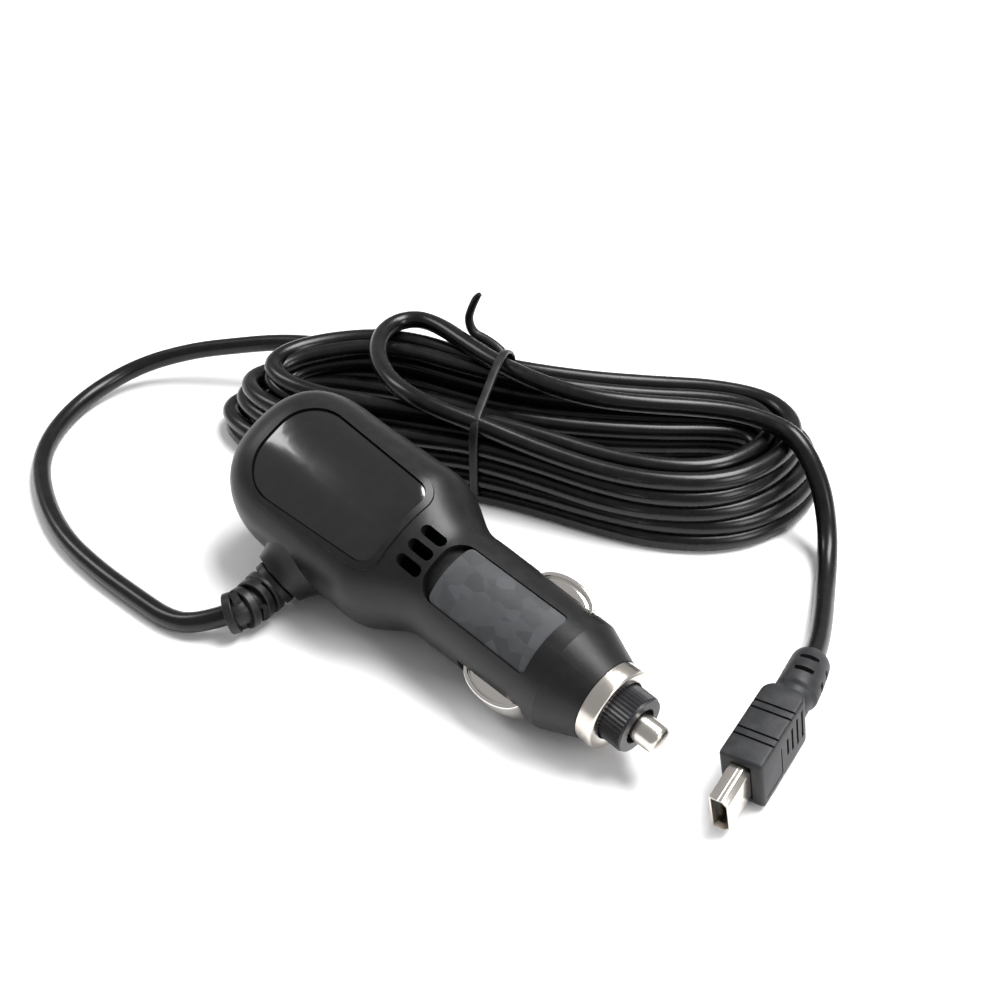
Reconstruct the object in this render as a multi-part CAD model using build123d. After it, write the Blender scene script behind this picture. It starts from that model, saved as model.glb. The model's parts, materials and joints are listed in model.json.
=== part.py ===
from build123d import *
import math
import os

# Car power adapter for a dash camera: a 12-24 V plug with a fused tip, its cord tied in a hank, and a
# mini-USB plug on the far end. Millimetres, +Z up. The adapter lies on its side as it rests on a table,
# nose down and rolled towards its cord, with the origin at the bottom centre of its own box.
#
# The adapter is drawn upright first. There x runs along its axis from the nose ring's front face, +x
# towards the tip, z is the label side, and the cord leaves on the -y side. set_down() lays it down.

os.makedirs("parts", exist_ok=True)

# ---------------------------------------------------------------- driving dimensions
# how the adapter lies
PITCH = 4.5                 # nose down, degrees
ROLL = 29.5                 # rolled towards the cord side, degrees
REST_X = 39.28              # where the ring's front face lies from the origin
REST_Y = 1.50
REST_Z = 9.44               # height of the axis there

# nose
RING_R = 7.0
RING_LEN = 3.0
RING_WALL = 0.8
CAP_R = 4.85                # knurled fuse cap
CAP_FRONT = 3.95
CAP_RIBS = 44
CAP_RIB_DEPTH = 0.25
CAP_STEM_R = 4.35
CAP_STEM_LEN = 8.0
CAP_BORE_R = 3.45
CAP_WALL = 1.9              # front wall that holds the tip in
CAP_DISH = 0.9              # dished recess round the tip
TIP_R = 2.35
TIP_FRONT = 8.3
TIP_FLANGE_R = 3.25
TIP_FLANGE_LEN = 1.4

# barrel
NOSE_CONE_LEN = 6.3
NOSE_R = 7.1                # cone where it meets the ring
BARREL_FRONT_R = 9.75
BARREL_REAR_R = 10.3
BARREL_LEN = 24.7
WALL = 2.0

# head
NECK_LEN = 13.0
NECK_START = 1.8            # behind the barrel
HEAD_HALF_W = 15.3
HEAD_TOP = 12.7
HEAD_BOTTOM = 11.4
HEAD_LEN = 53.2             # behind the barrel, neck included
FAR_CORNER_R = 12.6
NEAR_CORNER_R = 15.0
END_ROUND_R = 10.0
HEAD_SQUARE = 0.70          # handle length of the section's quarter curves; 0.5523 is a circle
ROUND = 0.5523

# label plate and its rim
LABEL_SET = 10.6            # its front behind the barrel
LABEL_REAR_SET = 10.0       # its rear ahead of the head's rear end
LABEL_FRONT_HALF = 8.3
LABEL_REAR_HALF = 10.2
LABEL_Y = 0.4
LABEL_FRONT_R = 3.0
LABEL_REAR_R = 7.5
LABEL_THICK = 1.0
LABEL_GAP = 0.2
RIM_WIDTH = 1.1
RIM_HEIGHT = 0.4

# grip inlay in the barrel
GRIP_SET = 3.4              # its front behind the cone
GRIP_LEN = 20.9
GRIP_HALF_W = 5.5
GRIP_SINK = 0.25
GRIP_THICK = 1.0
GRIP_GAP = 0.15
POCKET_SPARE = 2.4          # open length behind the inlay

# vents
VENT_COUNT = 3
VENT_SET = 5.3              # their middle behind the barrel
VENT_LEN = 4.8
VENT_W = 2.0
VENT_PITCH = 3.1

# ground springs
SPRING_SET = 2.9            # where the bulge leaves the barrel, behind the cone
SPRING_LEN = 12.4
SPRING_BULGE = 12.0
SPRING_SHOULDER = 0.9       # how far its shoulders lie inside its crown
SPRING_FOOT_GAP = 0.26      # from a foot's corners to the barrel's inner wall
SPRING_FOOT_LEN = 2.4
SPRING_HALF_H = 2.7
SPRING_THICK = 0.5
WINDOW_GAP = 0.4
STRAP_W = 1.9
STRAP_THICK = 0.4
STRAP_LAP = 3.0             # how far it lies on the board
STRAP_RISE = 3.6
STRAP_TAB = 1.0             # length of the tab on the spring's foot
STRAP_GAP = 0.05            # over the board

# cord boss and strain relief
BOSS_SET = 22.8             # its axis ahead of the head's rear end
BOSS_OUT = 2.5              # its face beyond the head's side
BOSS_R = 5.3
BOSS_FLARE_R = 9.0
BOSS_YAW = 9.0              # degrees the boss leans to the rear
RELIEF_NECK_R = 3.3
RELIEF_FLANGE_R = 4.8
RELIEF_R = 4.3
RELIEF_TAIL_R = 3.6
RELIEF_CORE_R = 2.7
RELIEF_DISCS = 5
RELIEF_DISC_LEN = 1.55
RELIEF_FLANGE_LEN = 1.2
SLEEVE_LEAD = 0.35          # bare core before a sleeve's first disc
SLEEVE_STRAIGHT = 1.8
SLEEVE_EDGE_R = 0.25
BRIDGE_W = 2.2

# fuse, 5 x 20 mm
FUSE_R = 2.6
FUSE_LEN = 20.0
FUSE_END_LEN = 5.0
GLASS_WALL = 0.5
FUSE_WIRE_R = 0.15
TIP_SPRING_R = 2.3
TIP_SPRING_WIRE = 0.45
TIP_SPRING_TURNS = 6
TIP_SPRING_LEN = 7.6

# circuit board and what is on it
BOARD_TOP = -2.4
BOARD_THICK = 1.2
BOARD_REAR_SET = 7.7        # its rear ahead of the head's rear end
BOARD_STEP_SET = 16.5       # where its tongue starts, behind the barrel
BOARD_SIDE_GAP = 3.9        # its side to the head's inner wall
BOARD_TONGUE_HALF_W = 5.6
BOARD_CORNER = 4.0
TERMINAL_HALF_W = 2.2
TERMINAL_THICK = 0.5
TERMINAL_FOOT = 2.8         # from the fuse's rear terminal back to the board's front end
TERMINAL_LAP = 0.8          # how far the fuse's rear terminal lies on the board
COIL_SET, COIL_Y, COIL_R, COIL_H = 8.0, -3.6, 4.4, 6.4              # sets are ahead of the cord boss
CAP_IN_SET, CAP_IN_Y, CAP_IN_R, CAP_IN_H = -7.1, -3.4, 4.0, 8.6
CAP_OUT_SET, CAP_OUT_Y, CAP_OUT_R, CAP_OUT_H = 9.9, 5.6, 3.15, 7.6
CHIP_SET, CHIP_Y, CHIP_L, CHIP_W, CHIP_H = 1.9, 5.0, 4.9, 3.9, 1.5
DIODE_SET, DIODE_Y, DIODE_L, DIODE_W, DIODE_H = 18.4, 0.0, 4.3, 2.6, 2.1
LEAD_WIRE_R = 0.65
WIRE_OFF = 1.3              # each wire's distance from the cord's middle

# housing screw
SCREW_SET, SCREW_Y = 14.7, 5.6          # set is ahead of the head's rear end
SCREW_R = 1.1
SCREW_HEAD_R = 2.0
SCREW_HEAD_H = 1.4
SCREW_LEN = 9.0
SCREW_BOSS_R = 2.6

# mini-USB plug: overmould from its front face back, then the boot
PLUG_X, PLUG_Y, PLUG_Z = 58.4, 6.95, 5.05
PLUG_YAW = -80.0
PLUG_ROLL = 7.7
PLUG_PITCH = 7.0
MOULD_L = 16.0
MOULD_W = 7.0
MOULD_H = 9.5
MOULD_EDGE_R = 0.9
MOULD_REAR_R = 2.6
BOOT_R = 3.5
BOOT_TAIL_R = 3.2
BOOT_CORE_R = 2.8
BOOT_RINGS = 3
BOOT_RING_LEN = 2.7
USB_W = 3.05
USB_H = 6.85
USB_OUT = 7.0
USB_IN = 4.0
USB_WALL = 0.3
USB_CHAMFER = 0.9
TONGUE_W = 0.75
TONGUE_H = 3.6
PIN_COUNT = 5
PIN_PITCH = 0.8

# cord
CORD_D = 3.65
FLOOR_Z = CORD_D / 2 + 0.02

# tied hank: its own u runs along it, v across it; outline chosen by hand
HANK_X, HANK_Y = -30.1, 42.4
HANK_YAW = 29.3
HANK_TOP = [(-62, 17.2), (-34, 19.4), (1, 20.0), (32, 18.2), (66, 15.6)]      # u and height along the top
HANK_TIED_H = 20.0          # height at the tie
HANK_EDGE_R = 3.5
HANK_OUTLINE = [
    (-57, 3), (-52, -9), (-40, -15.5), (-22, -16), (1, -14.6), (18, -17), (36, -19.6), (52, -15.5),
    (60.5, -4), (62, 8), (54, 18), (38, 20.5), (20, 17), (1, 12.6), (-16, 17), (-34, 19), (-51, 13.5),
]
TIE_U = 1.0                 # where the tie goes round
TIE_HALF_V = 14.2
TIE_V = -1.0
TIE_W = 3.0
TIE_THICK = 0.8
TIE_ROUND = 5.0
TIE_TAIL_R = 1.0
TIE_TAIL = [(1.5, 13.2, 16.4), (-3.6, 16.0, 18.2), (-8.6, 17.2, 18.6), (-9.6, 17.2, 22.6), (-7.8, 17.0, 28.0)]

# ---------------------------------------------------------------- cord routes, chosen by hand
EXIT_POINT = (-26.0, -25.0, 4.1)            # the strain relief's tail
EXIT_WAY = (-0.50, -0.84, -0.20)
ADAPTER_LEAD = [
    EXIT_POINT,
    (-28.5, -29.2, 3.1),
    (-34.0, -31.8, FLOOR_Z),
    (-42.6, -32.6, FLOOR_Z),
    (-54.6, -33.5, FLOOR_Z),
    (-68.1, -33.1, FLOOR_Z),
    (-81.6, -29.5, FLOOR_Z),
    (-94.1, -23.5, FLOOR_Z),
    (-103.2, -13.9, FLOOR_Z),
    (-108.0, -2.4, 2.6),
    (-106.8, 9.1, 4.8),
    (-100.2, 18.5, 7.2),
    (-92.2, 25.5, 8.9),
    (-86.0, 30.3, 10.2),
    (-79.7, 33.9, 11.2),
    (-74.2, 36.5, 11.6),
]
BOOT_END = (52.55, 33.35, 6.5)              # the boot's tail
BOOT_END_WAY = (-0.314, 0.923, -0.223)
PLUG_LEAD = [
    (17.0, 71.8, 17.6),
    (21.6, 71.1, 17.6),
    (25.6, 70.6, 15.3),
    (30.2, 69.2, 11.0),
    (34.0, 66.6, 6.0),
    (37.6, 62.2, 2.6),
    (41.9, 55.0, FLOOR_Z),
    (46.7, 46.5, 3.4),
    (51.0, 37.9, 5.4),
    BOOT_END,
]


# ---------------------------------------------------------------- helpers
def set_down(shape):
    """Lay a piece of the upright adapter on the table."""
    return Pos(REST_X, REST_Y, REST_Z) * Rot(0, PITCH, 0) * Rot(ROLL, 0, 0) * shape


def set_plug(shape):
    """Lay a piece of the mini-USB plug down; its own x runs out of the shell's mouth."""
    turn = Rot(0, 0, PLUG_YAW) * Rot(0, PLUG_PITCH, 0) * Rot(PLUG_ROLL, 0, 0)
    return Pos(PLUG_X, PLUG_Y, PLUG_Z) * turn * shape


def rod(x0, x1, radius):
    """A cylinder along x from x0 to x1."""
    return Pos((x0 + x1) / 2, 0, 0) * Rot(0, 90, 0) * Cylinder(radius, x1 - x0)


def block(x0, x1, y0, y1, z0, z1):
    """A box between two corners."""
    return Pos((x0 + x1) / 2, (y0 + y1) / 2, (z0 + z1) / 2) * Box(x1 - x0, y1 - y0, z1 - z0)


def post(x, y, z0, z1, radius):
    """A cylinder along z."""
    return Pos(x, y, (z0 + z1) / 2) * Cylinder(radius, z1 - z0)


def save(name, shape):
    export_step(shape, f"parts/{name}.step")
    print(name, round(shape.volume, 2))


def smooth(t):
    t = min(max(t, 0.0), 1.0)
    return t * t * (3 - 2 * t)


# ---------------------------------------------------------------- housing surface
CONE_REAR = -RING_LEN - NOSE_CONE_LEN
BARREL_REAR = CONE_REAR - BARREL_LEN
HEAD_REAR = BARREL_REAR - HEAD_LEN
NECK_X = BARREL_REAR - NECK_START

# places worked out from the sizes above
LABEL_FRONT = BARREL_REAR - LABEL_SET
LABEL_REAR = HEAD_REAR + LABEL_REAR_SET
GRIP_FRONT = CONE_REAR - GRIP_SET
VENT_X = BARREL_REAR - VENT_SET
SPRING_FRONT = CONE_REAR - SPRING_SET
BOSS_X = HEAD_REAR + BOSS_SET
BOSS_FACE_Y = -HEAD_HALF_W - BOSS_OUT
BOARD_REAR = HEAD_REAR + BOARD_REAR_SET
BOARD_STEP = BARREL_REAR - BOARD_STEP_SET
BOARD_HALF_W = HEAD_HALF_W - WALL - BOARD_SIDE_GAP
SCREW_X = HEAD_REAR + SCREW_SET


def barrel_radius(x):
    share = (CONE_REAR - x) / BARREL_LEN
    return BARREL_FRONT_R + (BARREL_REAR_R - BARREL_FRONT_R) * share


def end_round(size, corner, depth):
    """Half size of a profile at a depth in from its rounded end."""
    if depth >= corner:
        return size
    return size - corner + math.sqrt(corner**2 - (corner - depth) ** 2)


def section(x, grow=0.0):
    """Wire of the housing's cross-section at x: four quarter curves, near, far, top and bottom."""
    depth = x - HEAD_REAR
    blend = smooth((NECK_X - x) / NECK_LEN)
    base = min(barrel_radius(x), BARREL_REAR_R)

    def half(size, corner):
        return base + (end_round(size, corner, depth) - base) * blend + grow

    near = half(HEAD_HALF_W, NEAR_CORNER_R)
    far = half(HEAD_HALF_W, FAR_CORNER_R)
    top = half(HEAD_TOP, END_ROUND_R)
    bottom = half(HEAD_BOTTOM, END_ROUND_R)
    k = ROUND + (HEAD_SQUARE - ROUND) * blend
    return quarter_wire(x + grow_shift(depth, grow), near, far, top, bottom, k)


def grow_shift(depth, grow):
    """The rounded rear end moves out along the axis as the section grows."""
    return -grow * (1 - smooth(depth / END_ROUND_R))


def quarter_wire(x, near, far, top, bottom, k):
    corners = [(far, 0), (0, top), (-near, 0), (0, -bottom)]
    edges = []
    for i, (y0, z0) in enumerate(corners):
        y1, z1 = corners[(i + 1) % 4]
        if z0 == 0:
            handle = [(x, y0, k * z1), (x, k * y0, z1)]
        else:
            handle = [(x, k * y1, z0), (x, y1, k * z0)]
        edges.append(Bezier((x, y0, z0), *handle, (x, y1, z1)))
    return Wire(edges)


def round_wire(x, radius):
    return quarter_wire(x, radius, radius, radius, radius, ROUND)


REAR_DEPTHS = [0.25, 1.0, 2.4, 4.6, 7.6]
HEAD_STATIONS = [HEAD_REAR + depth for depth in REAR_DEPTHS]
HEAD_STATIONS += [HEAD_REAR + END_ROUND_R + 1.4, HEAD_REAR + 18, HEAD_REAR + 26, HEAD_REAR + 33]
HEAD_STATIONS += [NECK_X - NECK_LEN * share for share in (1.12, 0.9, 0.7, 0.5, 0.3, 0.1)]
HEAD_STATIONS += [BARREL_REAR]


def housing_form(grow, front_x, nose_r):
    """Closed solid of the housing's outer surface, moved out by grow, with its flat front at front_x."""
    head = Solid.make_loft([section(x, grow) for x in HEAD_STATIONS])
    rear_ring = section(BARREL_REAR, grow)
    front_ring = round_wire(CONE_REAR, BARREL_FRONT_R + grow)
    barrel = Solid.make_loft([rear_ring, front_ring], ruled=True)
    cone = Solid.make_loft([front_ring, round_wire(front_x, nose_r)], ruled=True)
    return head + barrel + cone


outer = housing_form(0.0, -RING_LEN, NOSE_R)
inner_front = CONE_REAR - 1.4
inner_head = Solid.make_loft([section(x, -WALL) for x in HEAD_STATIONS])
inner_barrel = Solid.make_loft(
    [section(BARREL_REAR, -WALL), round_wire(inner_front, barrel_radius(inner_front) - WALL)], ruled=True
)
cavity = inner_head + inner_barrel


# ---------------------------------------------------------------- label, rim, grip, vents
def label_outline(grow):
    """Face of the label's outline, larger or smaller all round by grow."""
    front = LABEL_FRONT + grow
    rear = LABEL_REAR - grow
    front_half = LABEL_FRONT_HALF + grow
    rear_half = LABEL_REAR_HALF + grow
    face = make_face(
        Polyline(
            (front, LABEL_Y - front_half),
            (front, LABEL_Y + front_half),
            (rear, LABEL_Y + rear_half),
            (rear, LABEL_Y - rear_half),
            close=True,
        )
    )
    middle = (LABEL_FRONT + LABEL_REAR) / 2
    face = fillet([v for v in face.vertices() if v.X > middle], LABEL_FRONT_R + grow)
    return fillet([v for v in face.vertices() if v.X < rear + 0.01], LABEL_REAR_R + grow)


def prism(face):
    """A tall column on a plan outline, on the label side."""
    return extrude(Pos(0, 0, 2) * face, 2 * HEAD_TOP)


seat_form = housing_form(-LABEL_THICK, -RING_LEN, NOSE_R - LABEL_THICK)
rim_form = housing_form(RIM_HEIGHT, -RING_LEN, NOSE_R + RIM_HEIGHT)
label_recess = prism(label_outline(0)) - seat_form
label_plate = (prism(label_outline(-LABEL_GAP)) & outer) - seat_form
rim = (prism(label_outline(RIM_WIDTH)) - prism(label_outline(0))) & rim_form
rim -= cavity


def grip_outline(grow, spare):
    front = GRIP_FRONT + grow
    rear = GRIP_FRONT - GRIP_LEN - grow - spare
    half = GRIP_HALF_W + grow
    face = make_face(Polyline((front, -half), (front, half), (rear, half), (rear, -half), close=True))
    corner = 1.0 + spare
    face = fillet([v for v in face.vertices() if v.X > rear + 1], 0.8 + grow)
    return fillet([v for v in face.vertices() if v.X < rear + 0.01], corner)


grip_floor = housing_form(-GRIP_SINK - GRIP_THICK, -RING_LEN, NOSE_R - GRIP_SINK - GRIP_THICK)
grip_top = housing_form(-GRIP_SINK, -RING_LEN, NOSE_R - GRIP_SINK)
grip_pocket = prism(grip_outline(GRIP_GAP, POCKET_SPARE)) - grip_floor
grip_inlay = (prism(grip_outline(0, 0)) & grip_top) - grip_floor

vents = []
for i in range(VENT_COUNT):
    vent_y = (i - (VENT_COUNT - 1) / 2) * VENT_PITCH
    slot = extrude(Pos(VENT_X, vent_y, 4) * SlotOverall(VENT_LEN, VENT_W), HEAD_TOP)
    vents.append(slot)

# ---------------------------------------------------------------- nose bores
bore = rod(inner_front - 1, -RING_WALL + 1, CAP_STEM_R + 0.1)
knurl_rear = -RING_WALL - 0.6
bore += rod(knurl_rear - 0.15, 1, CAP_R + 0.15)
spigot = rod(-RING_LEN, -RING_WALL, RING_R - RING_WALL - 0.05)
ring_hole_r = CAP_R + 0.15
nose_ring = rod(-RING_LEN, 0, RING_R) - rod(-RING_LEN - 1, -RING_WALL, RING_R - RING_WALL)
nose_ring -= rod(-RING_LEN, 1, ring_hole_r)
nose_ring = chamfer(nose_ring.edges().filter_by(GeomType.CIRCLE).group_by(SortBy.RADIUS)[-1], 0.25)

# ---------------------------------------------------------------- cord boss
def at_boss(shape):
    """Place a shape drawn along z so that z runs out of the boss, from the boss's face."""
    out = Plane(
        origin=(BOSS_X, BOSS_FACE_Y, 0),
        x_dir=(math.cos(math.radians(BOSS_YAW)), -math.sin(math.radians(BOSS_YAW)), 0),
        z_dir=(-math.sin(math.radians(BOSS_YAW)), -math.cos(math.radians(BOSS_YAW)), 0),
    )
    return out.location * shape


boss_depth = -BOSS_FACE_Y - HEAD_HALF_W + WALL + 1.5
boss_profile = make_face(
    [
        Line((0, 0, 0), (BOSS_R, 0, 0)),
        Bezier(
            (BOSS_R, 0, 0),
            (BOSS_R + 0.3, 0, -1.8),
            (BOSS_R + 1.2, 0, -3.2),
            (BOSS_FLARE_R, 0, -boss_depth),
        ),
        Line((BOSS_FLARE_R, 0, -boss_depth), (0, 0, -boss_depth)),
        Line((0, 0, -boss_depth), (0, 0, 0)),
    ]
)
boss = at_boss(revolve(boss_profile, Axis.Z))
boss -= cavity
boss_bore = at_boss(Pos(0, 0, -boss_depth) * Cylinder(RELIEF_NECK_R + 0.05, 4 * boss_depth))

# ---------------------------------------------------------------- housing shells
shell = outer - cavity + boss + spigot
shell -= bore
shell -= boss_bore
foot_corner_r = barrel_radius(SPRING_FRONT) - WALL
window_half = SPRING_HALF_H + WINDOW_GAP
window_front = SPRING_FRONT + 0.5
window_rear = SPRING_FRONT - SPRING_LEN - 0.9
for side in (-1, 1):
    y_in, y_out = foot_corner_r - WALL, SPRING_BULGE + 2
    shell -= block(window_rear, window_front, min(side * y_in, side * y_out),
                   max(side * y_in, side * y_out), -window_half, window_half)

board_bottom = BOARD_TOP - BOARD_THICK
above = block(HEAD_REAR - 20, 5, -40, 40, 0, 40)
below = block(HEAD_REAR - 20, 5, -40, 40, -40, 0)

upper_shell = (shell & above) + rim
upper_shell -= label_recess
upper_shell -= grip_pocket
for slot in vents:
    upper_shell -= slot
screw_boss_top = post(SCREW_X, SCREW_Y, BOARD_TOP + 2.6, HEAD_TOP - LABEL_THICK - 0.2, SCREW_BOSS_R) & cavity
upper_shell += screw_boss_top
upper_shell -= post(SCREW_X, SCREW_Y, 0, HEAD_TOP - 3.4, SCREW_R)

lower_shell = shell & below
screw_boss_low = post(SCREW_X, SCREW_Y, -HEAD_BOTTOM + 0.5, board_bottom - 0.1, SCREW_BOSS_R) & cavity
lower_shell += screw_boss_low
for rib_x in (BOARD_REAR + 5, BOARD_STEP - 6):
    rib = block(rib_x - 0.6, rib_x + 0.6, -HEAD_HALF_W, HEAD_HALF_W, -HEAD_BOTTOM, board_bottom)
    lower_shell += rib & cavity
lower_shell -= post(SCREW_X, SCREW_Y, -HEAD_BOTTOM - 1, board_bottom, SCREW_R + 0.15)
screw_seat = -HEAD_BOTTOM + 2.6
lower_shell -= post(SCREW_X, SCREW_Y, -HEAD_BOTTOM - 1, screw_seat, SCREW_HEAD_R + 0.2)

save("upper_shell", set_down(upper_shell))
save("lower_shell", set_down(lower_shell))
save("label_plate", set_down(label_plate))
save("grip_inlay", set_down(grip_inlay))
save("nose_ring", set_down(nose_ring))

# ---------------------------------------------------------------- housing screw
screw = post(SCREW_X, SCREW_Y, screw_seat - SCREW_HEAD_H, screw_seat, SCREW_HEAD_R)
screw += post(SCREW_X, SCREW_Y, screw_seat, screw_seat + SCREW_LEN, SCREW_R - 0.05)
drive = block(-1.3, 1.3, -0.25, 0.25, -0.8, 0) + block(-0.25, 0.25, -1.3, 1.3, -0.8, 0)
screw -= Pos(SCREW_X, SCREW_Y, screw_seat - SCREW_HEAD_H + 0.8) * drive
save("housing_screw", set_down(screw))

# ---------------------------------------------------------------- fuse cap and tip
rib_points = []
for i in range(2 * CAP_RIBS):
    angle = math.pi * i / CAP_RIBS
    radius = CAP_R - CAP_RIB_DEPTH * (i % 2)
    rib_points.append((radius * math.cos(angle), radius * math.sin(angle)))
knurl = extrude(make_face(Polyline(*rib_points, close=True)), CAP_FRONT - 0.45 - knurl_rear)
fuse_cap = Pos(knurl_rear, 0, 0) * Rot(0, 90, 0) * knurl
fuse_cap += rod(CAP_FRONT - 0.45, CAP_FRONT, CAP_R - CAP_RIB_DEPTH)
stem_rear = knurl_rear - CAP_STEM_LEN
fuse_cap += rod(stem_rear, knurl_rear, CAP_STEM_R)
cap_inside = CAP_FRONT - CAP_DISH - CAP_WALL
fuse_cap -= rod(stem_rear - 1, cap_inside, CAP_BORE_R)
fuse_cap -= rod(cap_inside - 1, CAP_FRONT + 1, TIP_R + 0.08)
fuse_cap -= rod(CAP_FRONT - CAP_DISH, CAP_FRONT + 1, TIP_R + 0.75)
save("fuse_cap", set_down(fuse_cap))

flange_front = cap_inside - 0.05
tip = rod(flange_front - TIP_FLANGE_LEN, flange_front, TIP_FLANGE_R)
tip += rod(flange_front, TIP_FRONT, TIP_R)
tip_edges = tip.edges().filter_by(GeomType.CIRCLE).group_by(Axis.X)[-1]
tip = fillet(tip_edges, 0.7)
save("tip_contact", set_down(tip))

spring_front = flange_front - TIP_FLANGE_LEN - 0.05
coil_length = TIP_SPRING_LEN - TIP_SPRING_WIRE
coil = Helix(coil_length / TIP_SPRING_TURNS, coil_length, TIP_SPRING_R)
coil_face = Plane(origin=coil @ 0, z_dir=coil % 0) * Circle(TIP_SPRING_WIRE / 2)
tip_spring = sweep(coil_face, path=coil)
spring_rear = spring_front - TIP_SPRING_LEN
save("tip_spring", set_down(Pos(spring_rear + TIP_SPRING_WIRE / 2, 0, 0) * Rot(0, 90, 0) * tip_spring))

# ---------------------------------------------------------------- fuse and its rear terminal
fuse_front = spring_rear - 0.1
fuse_rear = fuse_front - FUSE_LEN
glass_r = FUSE_R - 0.3
glass = rod(fuse_rear + 0.5, fuse_front - 0.5, glass_r)
glass -= rod(fuse_rear, fuse_front, glass_r - GLASS_WALL)
fuse_front_cap = rod(fuse_front - FUSE_END_LEN, fuse_front, FUSE_R)
fuse_front_cap -= rod(fuse_front - FUSE_END_LEN - 1, fuse_front - 0.45, glass_r + 0.02)
fuse_rear_cap = rod(fuse_rear, fuse_rear + FUSE_END_LEN, FUSE_R)
fuse_rear_cap -= rod(fuse_rear + 0.45, fuse_rear + FUSE_END_LEN + 1, glass_r + 0.02)
save("fuse_glass", set_down(glass))
save("fuse_front_cap", set_down(fuse_front_cap))
save("fuse_rear_cap", set_down(fuse_rear_cap))
save("fuse_wire", set_down(rod(fuse_rear + 0.45, fuse_front - 0.45, FUSE_WIRE_R)))

plate_x = fuse_rear - 0.15
BOARD_FRONT = plate_x - TERMINAL_FOOT
foot_rear = BOARD_FRONT - TERMINAL_LAP
terminal_sides = (-TERMINAL_HALF_W, TERMINAL_HALF_W)
terminal = block(plate_x - TERMINAL_THICK, plate_x, *terminal_sides, BOARD_TOP, -BOARD_TOP)
terminal += block(foot_rear, plate_x, *terminal_sides, BOARD_TOP, BOARD_TOP + TERMINAL_THICK)
save("plus_terminal", set_down(terminal))


# ---------------------------------------------------------------- ground springs and their straps
def arc_radii(spots):
    """Radius of the tangent arc at each corner of a route, as large as its shorter run allows."""
    radii = []
    for before, here, after in zip(spots, spots[1:], spots[2:]):
        run_in, run_out = here - before, after - here
        turn = math.radians(run_in.get_angle(run_out))
        radii.append(0.45 * min(run_in.length, run_out.length) / math.tan(turn / 2))
    return radii


foot_y = math.sqrt(foot_corner_r**2 - SPRING_HALF_H**2) - SPRING_FOOT_GAP - SPRING_THICK / 2


def ground_spring():
    """Bowed leaf on the +y side: a bent strip with a flat foot at each end."""
    rear = SPRING_FRONT - SPRING_LEN
    middle = SPRING_FRONT - SPRING_LEN / 2
    crown = SPRING_BULGE - SPRING_THICK / 2
    shoulder = crown - SPRING_SHOULDER
    corners = [
        (rear - SPRING_FOOT_LEN, foot_y),
        (rear, foot_y),
        (rear + 0.22 * SPRING_LEN, shoulder),
        (middle, crown),
        (SPRING_FRONT - 0.22 * SPRING_LEN, shoulder),
        (SPRING_FRONT, foot_y),
        (SPRING_FRONT + SPRING_FOOT_LEN / 2, foot_y),
    ]
    spots = [Vector(x, y) for x, y in corners]
    path = FilletPolyline(*spots, radius=arc_radii(spots))
    pen = Plane(origin=path @ 0, x_dir=(0, 1, 0), z_dir=path % 0) * Rectangle(SPRING_THICK, 2 * SPRING_HALF_H)
    return sweep(pen, path=path)


def ground_strap():
    """Strip on the +y side from the board's top to the inner face of the spring's rear foot."""
    inner = foot_y - SPRING_THICK / 2
    rear = SPRING_FRONT - SPRING_LEN - SPRING_FOOT_LEN
    low = BOARD_TOP + STRAP_GAP
    front = rear + STRAP_TAB
    strap = block(BOARD_FRONT - STRAP_LAP, front, inner - STRAP_W, inner, low, low + STRAP_THICK)
    return strap + block(rear, front, inner - STRAP_THICK, inner, low, low + STRAP_RISE)


leaf = ground_spring()
strap = ground_strap()
save("ground_spring_left", set_down(leaf))
save("ground_spring_right", set_down(mirror(leaf, Plane.XZ)))
save("ground_strap_left", set_down(strap))
save("ground_strap_right", set_down(mirror(strap, Plane.XZ)))

# ---------------------------------------------------------------- circuit board
board = block(BOARD_REAR, BOARD_STEP, -BOARD_HALF_W, BOARD_HALF_W, board_bottom, BOARD_TOP)
rear_corners = board.edges().filter_by(Axis.Z).group_by(Axis.X)[0]
board = chamfer(rear_corners, BOARD_CORNER)
board += block(BOARD_STEP, BOARD_FRONT, -BOARD_TONGUE_HALF_W, BOARD_TONGUE_HALF_W, board_bottom, BOARD_TOP)
board -= post(SCREW_X, SCREW_Y, board_bottom - 1, BOARD_TOP + 1, SCREW_BOSS_R + 0.2)
save("circuit_board", set_down(board))

drum = post(BOSS_X + COIL_SET, COIL_Y, BOARD_TOP, BOARD_TOP + 1.0, COIL_R)
drum += post(BOSS_X + COIL_SET, COIL_Y, BOARD_TOP, BOARD_TOP + COIL_H, COIL_R * 0.45)
drum += post(BOSS_X + COIL_SET, COIL_Y, BOARD_TOP + COIL_H - 1.0, BOARD_TOP + COIL_H, COIL_R)
winding = post(BOSS_X + COIL_SET, COIL_Y, BOARD_TOP + 1.05, BOARD_TOP + COIL_H - 1.05, COIL_R - 0.5)
winding -= post(BOSS_X + COIL_SET, COIL_Y, BOARD_TOP, BOARD_TOP + COIL_H, COIL_R * 0.45 + 0.05)
save("inductor_core", set_down(drum))
save("inductor_winding", set_down(winding))

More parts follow.
